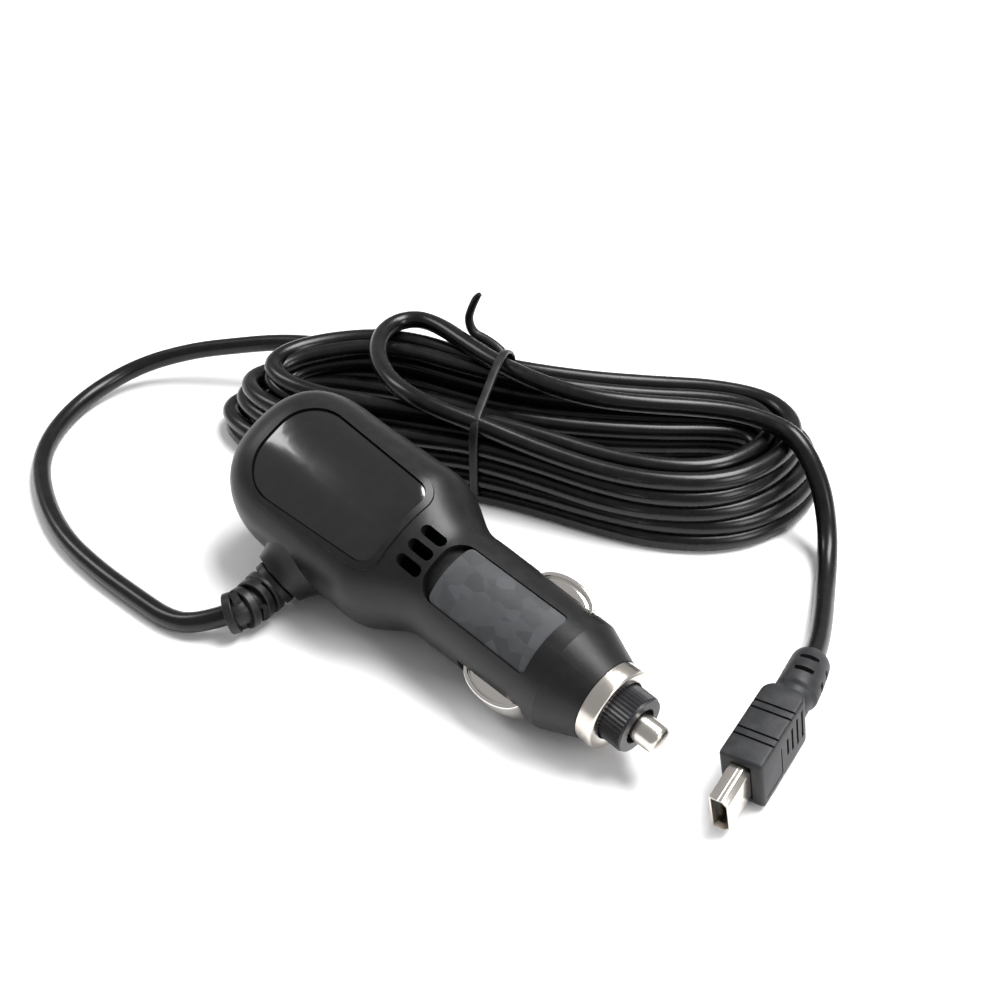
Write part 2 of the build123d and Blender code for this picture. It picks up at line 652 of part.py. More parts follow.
input_capacitor = post(BOSS_X + CAP_IN_SET, CAP_IN_Y, BOARD_TOP, BOARD_TOP + CAP_IN_H, CAP_IN_R)
output_capacitor = post(BOSS_X + CAP_OUT_SET, CAP_OUT_Y, BOARD_TOP, BOARD_TOP + CAP_OUT_H, CAP_OUT_R)
save("input_capacitor", set_down(fillet(input_capacitor.edges(), 0.4)))
save("output_capacitor", set_down(fillet(output_capacitor.edges(), 0.4)))
chip_x = BOSS_X + CHIP_SET
chip = block(chip_x - CHIP_L / 2, chip_x + CHIP_L / 2, CHIP_Y - CHIP_W / 2, CHIP_Y + CHIP_W / 2,
             BOARD_TOP + 0.15, BOARD_TOP + 0.15 + CHIP_H)
for i in range(4):
    leg_x = BOSS_X + CHIP_SET + (i - 1.5) * 1.27
    chip += block(leg_x - 0.2, leg_x + 0.2, CHIP_Y - CHIP_W / 2 - 1, CHIP_Y + CHIP_W / 2 + 1,
                  BOARD_TOP, BOARD_TOP + 0.3)
save("controller_chip", set_down(chip))
diode_x = BOSS_X + DIODE_SET
diode = block(diode_x - DIODE_L / 2, diode_x + DIODE_L / 2, DIODE_Y - DIODE_W / 2, DIODE_Y + DIODE_W / 2,
              BOARD_TOP, BOARD_TOP + DIODE_H)
save("rectifier_diode", set_down(diode))

# ---------------------------------------------------------------- strain relief
def ribbed_sleeve(path, core_r, radii, discs, disc_len):
    """Core along a curve with discs on it, and bridges between them that leave alternating slots."""
    sleeve = sweep(Plane(origin=path @ 0, z_dir=path % 0) * Circle(core_r), path=path)
    first = (SLEEVE_LEAD + disc_len / 2) / path.length
    last = 1 - disc_len / 2 / path.length
    pitch = (last - first) / (discs - 1)
    gap = pitch * path.length - disc_len
    for i in range(discs):
        share = first + pitch * i
        radius = radii[0] + (radii[1] - radii[0]) * share
        spot = Plane(origin=path @ share, z_dir=path % share)
        sleeve += spot.location * fillet(Cylinder(radius, disc_len).edges(), SLEEVE_EDGE_R)
        if i < discs - 1:
            middle = share + pitch / 2
            spot = Plane(origin=path @ middle, z_dir=path % middle)
            bridge = Box(2 * radius - 0.5, BRIDGE_W, gap + 0.4)
            sleeve += spot.location * Rot(0, 0, 90 * (i % 2)) * bridge
    return sleeve


def sleeve_route(start, start_way, end, end_way):
    """Curve between two points that is straight for a little at both ends."""
    way_in, way_out = Vector(*start_way).normalized(), Vector(*end_way).normalized()
    spots = [start, start + way_in * SLEEVE_STRAIGHT, Vector(*end) - way_out * SLEEVE_STRAIGHT, Vector(*end)]
    return Spline(*spots, tangents=[way_in, way_out])


root_len = boss_depth + SLEEVE_LEAD
relief_root = at_boss(Pos(0, 0, root_len / 2 - boss_depth) * Cylinder(RELIEF_NECK_R, root_len))
flange_z = -boss_depth - RELIEF_FLANGE_LEN / 2
relief_root += at_boss(Pos(0, 0, flange_z) * Cylinder(RELIEF_FLANGE_R, RELIEF_FLANGE_LEN))
face_centre = set_down(at_boss(Vertex(0, 0, 0))).center()
face_way = set_down(at_boss(Vertex(0, 0, 1))).center() - face_centre
relief_path = sleeve_route(face_centre, face_way, EXIT_POINT, EXIT_WAY)
relief = ribbed_sleeve(relief_path, RELIEF_CORE_R, (RELIEF_R, RELIEF_TAIL_R), RELIEF_DISCS, RELIEF_DISC_LEN)
save("strain_relief", relief + set_down(relief_root))

# ---------------------------------------------------------------- inner wires, from the relief to the board
wire_start = flange_z - RELIEF_FLANGE_LEN / 2
for name, side in (("wire_positive", 1), ("wire_negative", -1)):
    start = at_boss(Vertex(side * WIRE_OFF, 0, wire_start)).center()
    bend = at_boss(Vertex(side * WIRE_OFF, 0, wire_start - 2)).center()
    over = Vector(bend.X + side * 0.3, bend.Y + 1.4, bend.Z + 0.6)
    down = Vector(over.X + side * 0.2, over.Y + 0.5, BOARD_TOP + 0.4)
    route = FilletPolyline(start, bend, over, down, radius=LEAD_WIRE_R)
    wire = sweep(Plane(origin=route @ 0, z_dir=route % 0) * Circle(LEAD_WIRE_R), path=route)
    save(name, set_down(wire))


# ---------------------------------------------------------------- cord tubes
def cord_tube(name, points):
    """Tube of straight runs and tangent arcs; prints each arc's radius and the volume against its length."""
    spots = [Vector(*p) for p in points]
    radii = arc_radii(spots)
    route = FilletPolyline(*spots, radius=radii)
    tube = sweep(Plane(origin=route @ 0, z_dir=route % 0) * Circle(CORD_D / 2), path=route)
    expected = math.pi * CORD_D**2 / 4 * route.length
    print(name, "length", round(route.length, 1), "volume ratio", round(tube.volume / expected, 4))
    print(name, "arc radii", [round(r, 1) for r in radii])
    save(name, tube)


cord_tube("cord_adapter_lead", ADAPTER_LEAD)
cord_tube("cord_plug_lead", PLUG_LEAD)

# ---------------------------------------------------------------- hank and its tie
def set_hank(shape):
    """Place a shape drawn in the hank's own u, v and height."""
    return Pos(HANK_X, HANK_Y, 0) * Rot(0, 0, HANK_YAW) * shape


def tie_ring(inset):
    """Rounded rectangle round the waist, seen along the hank, smaller all round by inset."""
    half_h = (HANK_TIED_H + 2 * TIE_THICK) / 2
    face = RectangleRounded(2 * (TIE_HALF_V + TIE_THICK - inset), 2 * (half_h - inset), TIE_ROUND - inset)
    return Plane(origin=(TIE_U, TIE_V, half_h), x_dir=(0, 1, 0), z_dir=(1, 0, 0)).location * face


tie = extrude(tie_ring(0), TIE_W / 2, both=True) - extrude(tie_ring(TIE_THICK), TIE_W, both=True)
tie_slot = extrude(tie_ring(-1), TIE_W / 2 + 0.3, both=True)
tie_slot -= extrude(tie_ring(TIE_THICK + 0.3), TIE_W, both=True)
hank = extrude(make_face(Spline(*HANK_OUTLINE, periodic=True)), 2 * HANK_TIED_H)
ridge = Spline(*[(u, 0, height) for u, height in HANK_TOP])
first_u, last_u = HANK_TOP[0][0], HANK_TOP[-1][0]
side_view = Wire([ridge, Line(ridge @ 1, (last_u, 0, 0)), Line((last_u, 0, 0), (first_u, 0, 0)),
                  Line((first_u, 0, 0), ridge @ 0)])
hank &= extrude(Face(side_view), 2 * HANK_TIED_H, both=True)
hank = fillet(hank.faces().sort_by(Axis.Z)[-1].edges(), HANK_EDGE_R)
hank = fillet(hank.edges().group_by(Axis.Z)[0], CORD_D / 2)
hank = max((hank - tie_slot).solids(), key=lambda solid: solid.volume)
save("cord_hank", set_hank(hank))
tail_path = FilletPolyline(*TIE_TAIL, radius=1.6)
tie += sweep(Plane(origin=tail_path @ 0, z_dir=tail_path % 0) * Circle(TIE_TAIL_R), path=tail_path)
save("twist_tie", set_hank(tie))

# ---------------------------------------------------------------- mini-USB plug
mould = block(-MOULD_L, 0, -MOULD_W / 2, MOULD_W / 2, -MOULD_H / 2, MOULD_H / 2)
mould = fillet(mould.edges().filter_by(Axis.Z).group_by(Axis.X)[0], MOULD_REAR_R)
mould = fillet(mould.edges().filter_by(Axis.X), MOULD_EDGE_R)
mouth = block(-USB_IN, 1, -USB_W / 2, USB_W / 2, -USB_H / 2, USB_H / 2)
rear_centre = set_plug(Vertex(-MOULD_L, 0, 0)).center()
rear_way = rear_centre - set_plug(Vertex(0, 0, 0)).center()
boot_path = sleeve_route(rear_centre, rear_way, BOOT_END, BOOT_END_WAY)
boot = ribbed_sleeve(boot_path, BOOT_CORE_R, (BOOT_R, BOOT_TAIL_R), BOOT_RINGS, BOOT_RING_LEN)
mould = set_plug(mould - mouth) + boot
save("usb_overmould", mould)


def usb_profile(inset):
    """Mini-USB mouth: a flat box with two cut corners on one broad side."""
    w, h, cut = USB_W / 2 - inset, USB_H / 2 - inset, USB_CHAMFER
    corners = [(-w, -h), (-w, h), (w - cut, h), (w, h - cut), (w, -h + cut), (w - cut, -h)]
    face = make_face(Polyline(*corners, close=True))
    return Plane(origin=(-USB_IN, 0, 0), x_dir=(0, 1, 0), z_dir=(1, 0, 0)).location * face


usb_shell = extrude(usb_profile(0), USB_IN + USB_OUT) - extrude(usb_profile(USB_WALL), USB_IN + USB_OUT)
save("usb_shell", set_plug(usb_shell))
tongue_w = USB_W / 2 - USB_WALL - 0.05
tongue = block(-USB_IN, USB_OUT - 1.2, -tongue_w, -tongue_w + TONGUE_W, -TONGUE_H / 2, TONGUE_H / 2)
tongue += extrude(usb_profile(USB_WALL + 0.05), USB_IN - 0.5)
save("usb_tongue", set_plug(tongue))
contacts = []
for i in range(PIN_COUNT):
    pin_z = (i - (PIN_COUNT - 1) / 2) * PIN_PITCH * 0.9
    pin_y = -tongue_w + TONGUE_W
    contacts.append(block(-0.3, USB_OUT - 1.5, pin_y, pin_y + 0.15, pin_z - 0.18, pin_z + 0.18))
save("usb_contacts", set_plug(Compound(contacts)))
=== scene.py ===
# %% [markdown]
# # A car power adapter with its cord tied in a hank
# The adapter's CAD model is loaded as a fixed frame. This lesson adds its looks: a camera and soft
# light, the free cord as one long curve, the tie, the ribbed sleeves, the moulded plug, and a material
# for every piece. Everything is in metres.

# %% Load the frame
import json
import math

import bmesh
import bpy
from mathutils import Matrix, Vector


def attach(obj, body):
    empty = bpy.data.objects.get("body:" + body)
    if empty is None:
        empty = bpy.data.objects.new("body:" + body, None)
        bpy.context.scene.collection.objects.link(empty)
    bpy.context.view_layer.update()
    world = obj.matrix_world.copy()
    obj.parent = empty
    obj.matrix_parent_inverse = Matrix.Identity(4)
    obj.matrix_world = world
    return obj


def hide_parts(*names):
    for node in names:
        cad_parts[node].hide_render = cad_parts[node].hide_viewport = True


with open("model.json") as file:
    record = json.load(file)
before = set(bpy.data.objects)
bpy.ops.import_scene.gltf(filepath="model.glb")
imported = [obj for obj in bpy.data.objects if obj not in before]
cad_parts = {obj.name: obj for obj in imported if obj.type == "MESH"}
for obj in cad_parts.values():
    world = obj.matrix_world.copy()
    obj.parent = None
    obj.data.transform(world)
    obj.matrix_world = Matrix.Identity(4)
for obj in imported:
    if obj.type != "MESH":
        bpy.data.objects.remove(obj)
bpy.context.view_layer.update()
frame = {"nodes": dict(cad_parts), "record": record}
record = frame["record"]
mounts = {mount["name"]: mount for mount in record["mounts"]}
MM = 0.001

# %% [markdown]
# ## Helpers
# An operator acts on all that is selected, so each step starts with nothing selected. Most pieces end in
# the same way: their place goes into their mesh, they get a material, and they ride on a body.

# %% Small helpers


def select_only(piece):
    """Make one object the only selected and active one."""
    bpy.ops.object.select_all(action="DESELECT")
    piece.select_set(True)
    bpy.context.view_layer.objects.active = piece


def smooth_step(share):
    """Ease a share from 0 to 1, level at both ends."""
    share = min(max(share, 0.0), 1.0)
    return share * share * (3 - 2 * share)


def apply_modifiers(piece):
    """Apply a piece's modifiers, one after the other."""
    select_only(piece)
    for modifier in list(piece.modifiers):
        bpy.ops.object.modifier_apply(modifier=modifier.name)


def soften_edges(piece, width, angle):
    """Round the edges that are sharper than an angle in degrees. The width is in millimetres."""
    soften = piece.modifiers.new("soften", "BEVEL")
    soften.width = width * MM
    soften.segments = 3
    soften.limit_method = "ANGLE"
    soften.angle_limit = math.radians(angle)
    apply_modifiers(piece)


def pick(piece, kind, test):
    """In edit mode, select only the edges or faces that pass a test."""
    bpy.ops.mesh.select_mode(type=kind)
    bpy.ops.mesh.select_all(action="DESELECT")
    shape = bmesh.from_edit_mesh(piece.data)
    for part in shape.edges if kind == "EDGE" else shape.faces:
        if test(part):
            part.select_set(True)
    bmesh.update_edit_mesh(piece.data)


def finish_piece(piece, body, material, angle=35):
    """Put the place into the mesh, shade it, dress it and let it ride on its body."""
    select_only(piece)
    bpy.ops.object.transform_apply(location=True, rotation=True, scale=True)
    bpy.ops.object.shade_smooth_by_angle(angle=math.radians(angle))
    piece.data.materials.clear()
    piece.data.materials.append(material)
    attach(piece, body)
    print(piece.name, len(piece.data.polygons), "faces")


# %% [markdown]
# ## Camera
# The camera stands above the nose, to its right, and looks along the adapter at about 37 degrees down.
# It could be aimed at a target with a constraint. A place and a direction given as numbers are simpler,
# and keep the adapter across the frame.

# %% Camera
CAMERA_AT = Vector((118.7, -103.9, 149.6)) * MM
CAMERA_WAY = Vector((-0.5612, 0.5624, -0.6072))
CAMERA_LENS = 44.91
bpy.ops.object.camera_add(location=CAMERA_AT)
camera = bpy.context.object
camera.name = "camera"
camera.rotation_euler = CAMERA_WAY.to_track_quat("-Z", "Y").to_euler()
camera.data.lens = CAMERA_LENS
camera.data.sensor_width = 36.0
camera.data.clip_start = 0.01
bpy.context.scene.camera = camera
print("camera lens", CAMERA_LENS, "mm")

# %% [markdown]
# ## The cord's way
# The cord is about 3.5 m long and 3.65 mm thick. It leaves the strain relief, lies in one wide curve on
# the table, and then goes round and round in a hank of flat oval turns. From there it makes one small
# loop on top of the hank, and runs over the hank's end and down to the plug. The loose stretches could be
# simulated, but listed points give the same line each time.

# %% The cord's loose stretches
CORD_D = 3.65
FLOOR_Z = CORD_D / 2 + 0.02
ADAPTER_LEAD = [
    (-26.0, -25.0, 4.1),
    (-28.5, -29.2, 3.1),
    (-34.0, -31.8, FLOOR_Z),
    (-42.6, -32.6, FLOOR_Z),
    (-54.6, -33.5, FLOOR_Z),
    (-68.1, -33.1, FLOOR_Z),
    (-81.6, -29.5, FLOOR_Z),
    (-94.1, -23.5, FLOOR_Z),
    (-103.2, -13.9, FLOOR_Z),
    (-108.0, -2.4, 2.6),
    (-106.8, 9.1, 4.8),
    (-100.2, 18.5, 7.2),
    (-92.2, 25.5, 8.9),
    (-86.0, 30.3, 10.2),
    (-79.7, 33.9, 11.2),
    (-74.2, 36.5, 11.6),
]
PLUG_LEAD = [
    (17.0, 71.8, 17.6),
    (21.6, 71.1, 17.6),
    (25.6, 70.6, 15.3),
    (30.2, 69.2, 11.0),
    (34.0, 66.6, 6.0),
    (37.6, 62.2, 2.6),
    (41.9, 55.0, FLOOR_Z),
    (46.7, 46.5, 3.4),
    (51.0, 37.9, 5.4),
    (52.55, 33.35, 6.5),
]
BOOT_WAY = Vector((-0.314, 0.923, -0.223))      # from the moulded plug's boot back along the cord
print("loose stretches", len(ADAPTER_LEAD), "and", len(PLUG_LEAD), "points")

# %% [markdown]
# ## The hank's turns
# On the real lead a machine winds the turns, and a tie pulls their middle together. Twelve separate
# ovals would not join up, so a loop works out one line: each turn follows the same oval, moved in by its
# ring and up by its level, and near its end it moves over to the next turn's ring and level.

# %% The hank's turns
HANK_AT = Vector((-30.1, 42.4, 0))
HANK_YAW = math.radians(29.3)
HANK_ALONG = Vector((math.cos(HANK_YAW), math.sin(HANK_YAW), 0))
HANK_ACROSS = Vector((-math.sin(HANK_YAW), math.cos(HANK_YAW), 0))
TURN_OVAL = [
    (-36, 16.8), (-24, 17.2), (-12, 13.5), (1, 10.6), (18, 14), (34, 18.2), (47, 20.4), (58, 19), (64, 12.5),
    (64.8, 4), (60.5, -6), (52, -14.5), (40, -17.8), (28, -17.3), (14, -14.5), (1, -12.8), (-12, -13.6),
    (-28, -14.6), (-42, -13), (-53, -8), (-58.5, -1), (-55.5, 6.5), (-47, 12.5),
]                           # the outermost, lowest turn: along and across the hank
TURN_CELLS = [
    (3, 0), (2, 0), (1, 0), (0, 0), (0, 1), (0, 2), (1, 2), (1, 1), (2, 1), (2, 2), (3, 1), (4, 1),
]                           # each turn's level and ring, in the order in which the cord makes them
TOP_TURN = (4, 0)           # the last turn, which stops at the waist
TOP_LOOP = [
    (1, -12.4, 17.6), (-6, -11.8, 18.8), (-12.5, -10.2, 19.8), (-19, -5.6, 20.0), (-24.6, 2.6, 19.6),
    (-26.9, 11, 19.6), (-25.4, 16.8, 19.8), (-21, 19.2, 20.0), (-15, 16.6, 20.2), (-8, 11.2, 20.2),
    (0, 5.8, 20.0), (9.8, 1.4, 19.8), (20, -0.6, 19.4), (30, 1.2, 18.6), (41, 4.0, 18.0), (49, 4.6, 17.8),
]
TRANSITION = 4              # points over which a turn moves to the next one's place
LOBE_AT = 30                # distance from the tie at which the ends are fully loose
SHORTER = (0.022, 0.038)    # how much shorter each level is, towards the nose and away from it
NARROWER = 0.016            # how much narrower each level is in its ends
SPINE = (-30, 38)           # the rings close in on this stretch of the middle line
SPINE_N = 1.5               # how far that line lies across
LOOSER = 0.27               # room between rings in the ends, as a share of the cord
SWAY = 0.7                  # how far a turn strays in the ends, in millimetres
SAG = (0.18, 0.03)          # how much lower the ends lie than the waist, towards the nose and away


def hank_point(u, n, z):
    """A point given along, across and up the hank, in the model's frame, in millimetres."""
    return HANK_AT + HANK_ALONG * u + HANK_ACROSS * n + Vector((0, 0, z))


def turn_point(level, ring, i):
    """Point i of a turn at a level and a ring, which may lie between two of them."""
    u, n = TURN_OVAL[i]
    end = 0 if u > 0 else 1
    in_lobe = smooth_step(abs(u) / LOBE_AT)
    u *= 1 - SHORTER[end] * level
    n *= 1 - NARROWER * level * in_lobe
    inward = Vector((min(max(u, SPINE[0]), SPINE[1]) - u, SPINE_N - n))
    step = ring * CORD_D * (1 + LOOSER * in_lobe)
    shift = inward.normalized() * step
    sway = in_lobe * SWAY * math.sin(2.1 * level + 0.5 * i)
    sag = 1 - SAG[end] * in_lobe
    return hank_point(u + shift.x + sway, n + shift.y + 0.6 * sway, CORD_D / 2 + level * CORD_D * sag)


cord_route = list(map(Vector, ADAPTER_LEAD))
for turn, cell in enumerate(TURN_CELLS):
    next_cell = (TURN_CELLS + [TOP_TURN])[turn + 1]
    for i in range(len(TURN_OVAL)):
        moved = smooth_step((i - len(TURN_OVAL) + TRANSITION + 1) / (TRANSITION + 1))
        level, ring = (a + (b - a) * moved for a, b in zip(cell, next_cell))
        cord_route.append(turn_point(level, ring, i))
near_waist = TURN_OVAL.index((1, -12.8))
cord_route += [turn_point(*TOP_TURN, i) for i in range(near_waist)]
cord_route += [hank_point(*p) for p in TOP_LOOP]
cord_route += list(map(Vector, PLUG_LEAD))
cord_length = sum((b - a).length for a, b in zip(cord_route, cord_route[1:])) * MM
print("cord", len(cord_route), "points,", round(cord_length, 3), "m along its points")

# %% [markdown]
# ## The cord as one curve
# One NURBS spline carries the whole route. Order 3 keeps it close to its points and still bends
# smoothly, and a round bevel gives it its thickness.

# %% Cord curve
cord_curve = bpy.data.curves.new("cord", "CURVE")
cord_curve.dimensions = "3D"
spline = cord_curve.splines.new("NURBS")
spline.points.add(len(cord_route) - 1)
for point, place in zip(spline.points, cord_route):
    point.co = (*(place * MM), 1.0)
spline.order_u = 3
spline.use_endpoint_u = True
spline.resolution_u = 5
cord_curve.bevel_depth = CORD_D * MM / 2
cord_curve.bevel_resolution = 5
cord_curve.use_fill_caps = True
cord = bpy.data.objects.new("cord", cord_curve)
bpy.context.collection.objects.link(cord)
print("cord curve", len(spline.points), "control points")

# %% [markdown]
# ## Table and light
# The object lies on a plain white table under wide soft light. A sky picture could light it, but area
# panels are easier to place. A large one above and behind gives the long soft highlights on the cord,
# a smaller one from the right lights the nose, and one from the left fills the shadows.

# %% Stage
WORLD_STRENGTH = 0.40
bpy.ops.mesh.primitive_plane_add(size=6, location=(0, 0, 0))
table = bpy.context.object
table.name = "table"

world = bpy.data.worlds.new("studio")
bpy.context.scene.world = world
world.use_nodes = True
world.node_tree.nodes["Background"].inputs["Color"].default_value = (1, 1, 1, 1)
world.node_tree.nodes["Background"].inputs["Strength"].default_value = WORLD_STRENGTH
bpy.context.scene.view_settings.view_transform = "Standard"


def add_panel(name, place, aim, size, watts):
    """A rectangular light panel that faces a point."""
    place, aim = Vector(place), Vector(aim)
    bpy.ops.object.light_add(type="AREA", location=place)
    panel = bpy.context.object
    panel.name = name
    panel.data.shape = "RECTANGLE"
    panel.data.size, panel.data.size_y = size
    panel.data.energy = watts
    panel.rotation_euler = (aim - place).to_track_quat("-Z", "Y").to_euler()
    print(name, watts, "W")


add_panel("panel_above", (0.12, 0.30, 0.75), (-0.02, 0.02, 0), (0.55, 0.35), 11.0)
add_panel("panel_right", (0.60, 0.10, 0.30), (0, 0.02, 0), (0.2, 0.3), 1.6)
add_panel("panel_left", (-0.72, -0.22, 0.62), (-0.02, 0, 0), (0.25, 0.35), 2.2)

# %% [markdown]
# ## Materials
# Real surfaces are never one even colour. Three effects are used all over, so each is a node group: a
# fine grain for moulded plastic, soft dust on what faces up, and hairline scratches on metal. They could
# be copied into every material, but a group is built once and takes each material's own values.

# %% Node groups


def new_group(name, inputs, outputs):
    """An empty shader group with named float or colour sockets."""
    group = bpy.data.node_groups.new(name, "ShaderNodeTree")
    for label, kind, value in inputs:
        socket = group.interface.new_socket(label, in_out="INPUT", socket_type=kind)
        socket.default_value = value
    for label, kind in outputs:
        group.interface.new_socket(label, in_out="OUTPUT", socket_type=kind)
    return group, group.nodes.new("NodeGroupInput"), group.nodes.new("NodeGroupOutput")


def ramp_between(group, fac, low, high):
    """A value mapped from 0..1 to low..high, where low and high are sockets."""
    node = group.nodes.new("ShaderNodeMapRange")
    group.links.new(fac, node.inputs["Value"])
    group.links.new(low, node.inputs["To Min"])
    group.links.new(high, node.inputs["To Max"])
    return node.outputs["Result"]


FLOAT, COLOR, VECTOR = "NodeSocketFloat", "NodeSocketColor", "NodeSocketVector"

grain, grain_in, grain_out = new_group(
    "Moulded grain",
    [("Scale", FLOAT, 2500.0), ("Height", FLOAT, 0.00002), ("Smooth", FLOAT, 0.38), ("Rough", FLOAT, 0.5)],
    [("Roughness", FLOAT), ("Normal", VECTOR)],
)
coords = grain.nodes.new("ShaderNodeTexCoord")
fine = grain.nodes.new("ShaderNodeTexNoise")
broad = grain.nodes.new("ShaderNodeTexNoise")
broad.inputs["Scale"].default_value = 90.0
broad.inputs["Detail"].default_value = 5.0
fine.inputs["Detail"].default_value = 2.0
bump = grain.nodes.new("ShaderNodeBump")
bump.inputs["Strength"].default_value = 0.5
grain.links.new(coords.outputs["Object"], fine.inputs["Vector"])
grain.links.new(coords.outputs["Object"], broad.inputs["Vector"])
grain.links.new(grain_in.outputs["Scale"], fine.inputs["Scale"])
grain.links.new(fine.outputs["Fac"], bump.inputs["Height"])
grain.links.new(grain_in.outputs["Height"], bump.inputs["Distance"])
grain.links.new(
    ramp_between(grain, broad.outputs["Fac"], grain_in.outputs["Smooth"], grain_in.outputs["Rough"]),
    grain_out.inputs["Roughness"],
)
grain.links.new(bump.outputs["Normal"], grain_out.inputs["Normal"])

dust, dust_in, dust_out = new_group(
    "Dust on top",
    [("Base", COLOR, (0.03, 0.03, 0.03, 1)), ("Dust", COLOR, (0.3, 0.3, 0.3, 1)), ("Amount", FLOAT, 0.06)],
    [("Color", COLOR)],
)
coords = dust.nodes.new("ShaderNodeTexCoord")
facing = dust.nodes.new("ShaderNodeNewGeometry")
upward = dust.nodes.new("ShaderNodeSeparateXYZ")
specks = dust.nodes.new("ShaderNodeTexNoise")
specks.inputs["Scale"].default_value = 420.0
specks.inputs["Detail"].default_value = 6.0
sift = dust.nodes.new("ShaderNodeMapRange")
sift.inputs["From Min"].default_value = 0.42
sift.inputs["From Max"].default_value = 0.75
settle = dust.nodes.new("ShaderNodeMath")
settle.operation = "MULTIPLY"
settle.use_clamp = True
scaled = dust.nodes.new("ShaderNodeMath")
scaled.operation = "MULTIPLY"
scaled.use_clamp = True
mix = dust.nodes.new("ShaderNodeMix")
mix.data_type = "RGBA"
dust.links.new(coords.outputs["Object"], specks.inputs["Vector"])
dust.links.new(facing.outputs["Normal"], upward.inputs["Vector"])
dust.links.new(specks.outputs["Fac"], sift.inputs["Value"])
dust.links.new(sift.outputs["Result"], settle.inputs[0])
dust.links.new(upward.outputs["Z"], settle.inputs[1])
dust.links.new(settle.outputs["Value"], scaled.inputs[0])
dust.links.new(dust_in.outputs["Amount"], scaled.inputs[1])
dust.links.new(scaled.outputs["Value"], mix.inputs["Factor"])
dust.links.new(dust_in.outputs["Base"], mix.inputs["A"])
dust.links.new(dust_in.outputs["Dust"], mix.inputs["B"])
dust.links.new(mix.outputs["Result"], dust_out.inputs["Color"])

scratch, scratch_in, scratch_out = new_group(
    "Hairlines",
    [("Scale", FLOAT, 300.0), ("Height", FLOAT, 0.000006), ("Smooth", FLOAT, 0.12), ("Rough", FLOAT, 0.3)],
    [("Roughness", FLOAT), ("Normal", VECTOR)],
)
coords = scratch.nodes.new("ShaderNodeTexCoord")
stretch = scratch.nodes.new("ShaderNodeMapping")
stretch.inputs["Scale"].default_value = (12.0, 1.0, 1.0)
lines = scratch.nodes.new("ShaderNodeTexNoise")
lines.inputs["Detail"].default_value = 8.0
bump = scratch.nodes.new("ShaderNodeBump")
bump.inputs["Strength"].default_value = 0.4
scratch.links.new(coords.outputs["Object"], stretch.inputs["Vector"])
scratch.links.new(stretch.outputs["Vector"], lines.inputs["Vector"])
scratch.links.new(scratch_in.outputs["Scale"], lines.inputs["Scale"])
scratch.links.new(lines.outputs["Fac"], bump.inputs["Height"])
scratch.links.new(scratch_in.outputs["Height"], bump.inputs["Distance"])
scratch.links.new(
    ramp_between(scratch, lines.outputs["Fac"], scratch_in.outputs["Smooth"], scratch_in.outputs["Rough"]),
    scratch_out.inputs["Roughness"],
)
scratch.links.new(bump.outputs["Normal"], scratch_out.inputs["Normal"])

# %% [markdown]
# ## Material makers
# Most finishes are the same recipe with other numbers. Two functions hold the recipes: plastic() joins
# the grain and the dust to a shader, and metal() joins the hairlines. What is even all over the surface
# is set on the shader's own sockets.

# %% Material makers


def new_material(name, **sockets):
    """A material with one Principled shader, its plain sockets set by name."""
    material = bpy.data.materials.new(name)
    material.use_nodes = True
    shader = material.node_tree.nodes["Principled BSDF"]
    for label, value in sockets.items():
        shader.inputs[label.replace("_", " ")].default_value = value
    return material, material.node_tree, shader


def place_group(tree, group, **values):
    """A group placed in a material, with values for its inputs."""
    node = tree.nodes.new("ShaderNodeGroup")
    node.node_tree = group
    for label, value in values.items():
        node.inputs[label].default_value = value
    return node


def rgb(r, g, b):
    """An opaque colour."""
    return (r, g, b, 1)


def plastic(name, color, smooth, rough, dust_amount=0.05, scale=2500.0, height=0.00002, **sockets):
    """Moulded plastic or rubber: grain, roughness that varies, and a little dust."""
    material, tree, shader = new_material(name, **sockets)
    surface = place_group(tree, grain, Scale=scale, Height=height, Smooth=smooth, Rough=rough)
    top = place_group(tree, dust, Base=color, Amount=dust_amount)
    tree.links.new(surface.outputs["Roughness"], shader.inputs["Roughness"])
    tree.links.new(surface.outputs["Normal"], shader.inputs["Normal"])
    tree.links.new(top.outputs["Color"], shader.inputs["Base Color"])
    return material


def metal(name, color, smooth, rough, scale=300.0, height=0.000006):
    """Bare or plated metal with hairlines."""
    material, tree, shader = new_material(name, Base_Color=color, Metallic=1.0)
    surface = place_group(tree, scratch, Scale=scale, Height=height, Smooth=smooth, Rough=rough)
    tree.links.new(surface.outputs["Roughness"], shader.inputs["Roughness"])
    tree.links.new(surface.outputs["Normal"], shader.inputs["Normal"])
    return material


# %% [markdown]
# ## Plastics and rubbers
# The housing is spark-eroded black plastic, the label a glossy domed plate, and the cord soft PVC with a
# satin skin. They are nearly the same black, so what tells them apart is how rough they are. The inner
# parts and the wires get the same recipe in their own colours.

# %% Plastics and rubbers
MATTE = {"Specular_IOR_Level": 0.32}
housing_plastic = plastic("housing_plastic", rgb(0.005, 0.005, 0.0055), 0.34, 0.45, 0.02, **MATTE)
label_gloss = plastic(
    "label_gloss", rgb(0.004, 0.004, 0.0045), 0.08, 0.15, 0.01, 700.0, 0.000004,
    Coat_Weight=0.6, Coat_Roughness=0.05,
)
cap_plastic = plastic("cap_plastic", rgb(0.014, 0.014, 0.016), 0.32, 0.45, 0.03)
relief_rubber = plastic("relief_rubber", rgb(0.006, 0.006, 0.0065), 0.36, 0.5, 0.05, **MATTE)
cord_pvc = plastic(
    "cord_pvc", rgb(0.002, 0.002, 0.0022), 0.22, 0.32, 0.02, 1400.0, 0.00001, Specular_IOR_Level=0.34
)
tie_plastic = plastic("tie_plastic", rgb(0.006, 0.006, 0.007), 0.34, 0.5, 0.04, **MATTE)
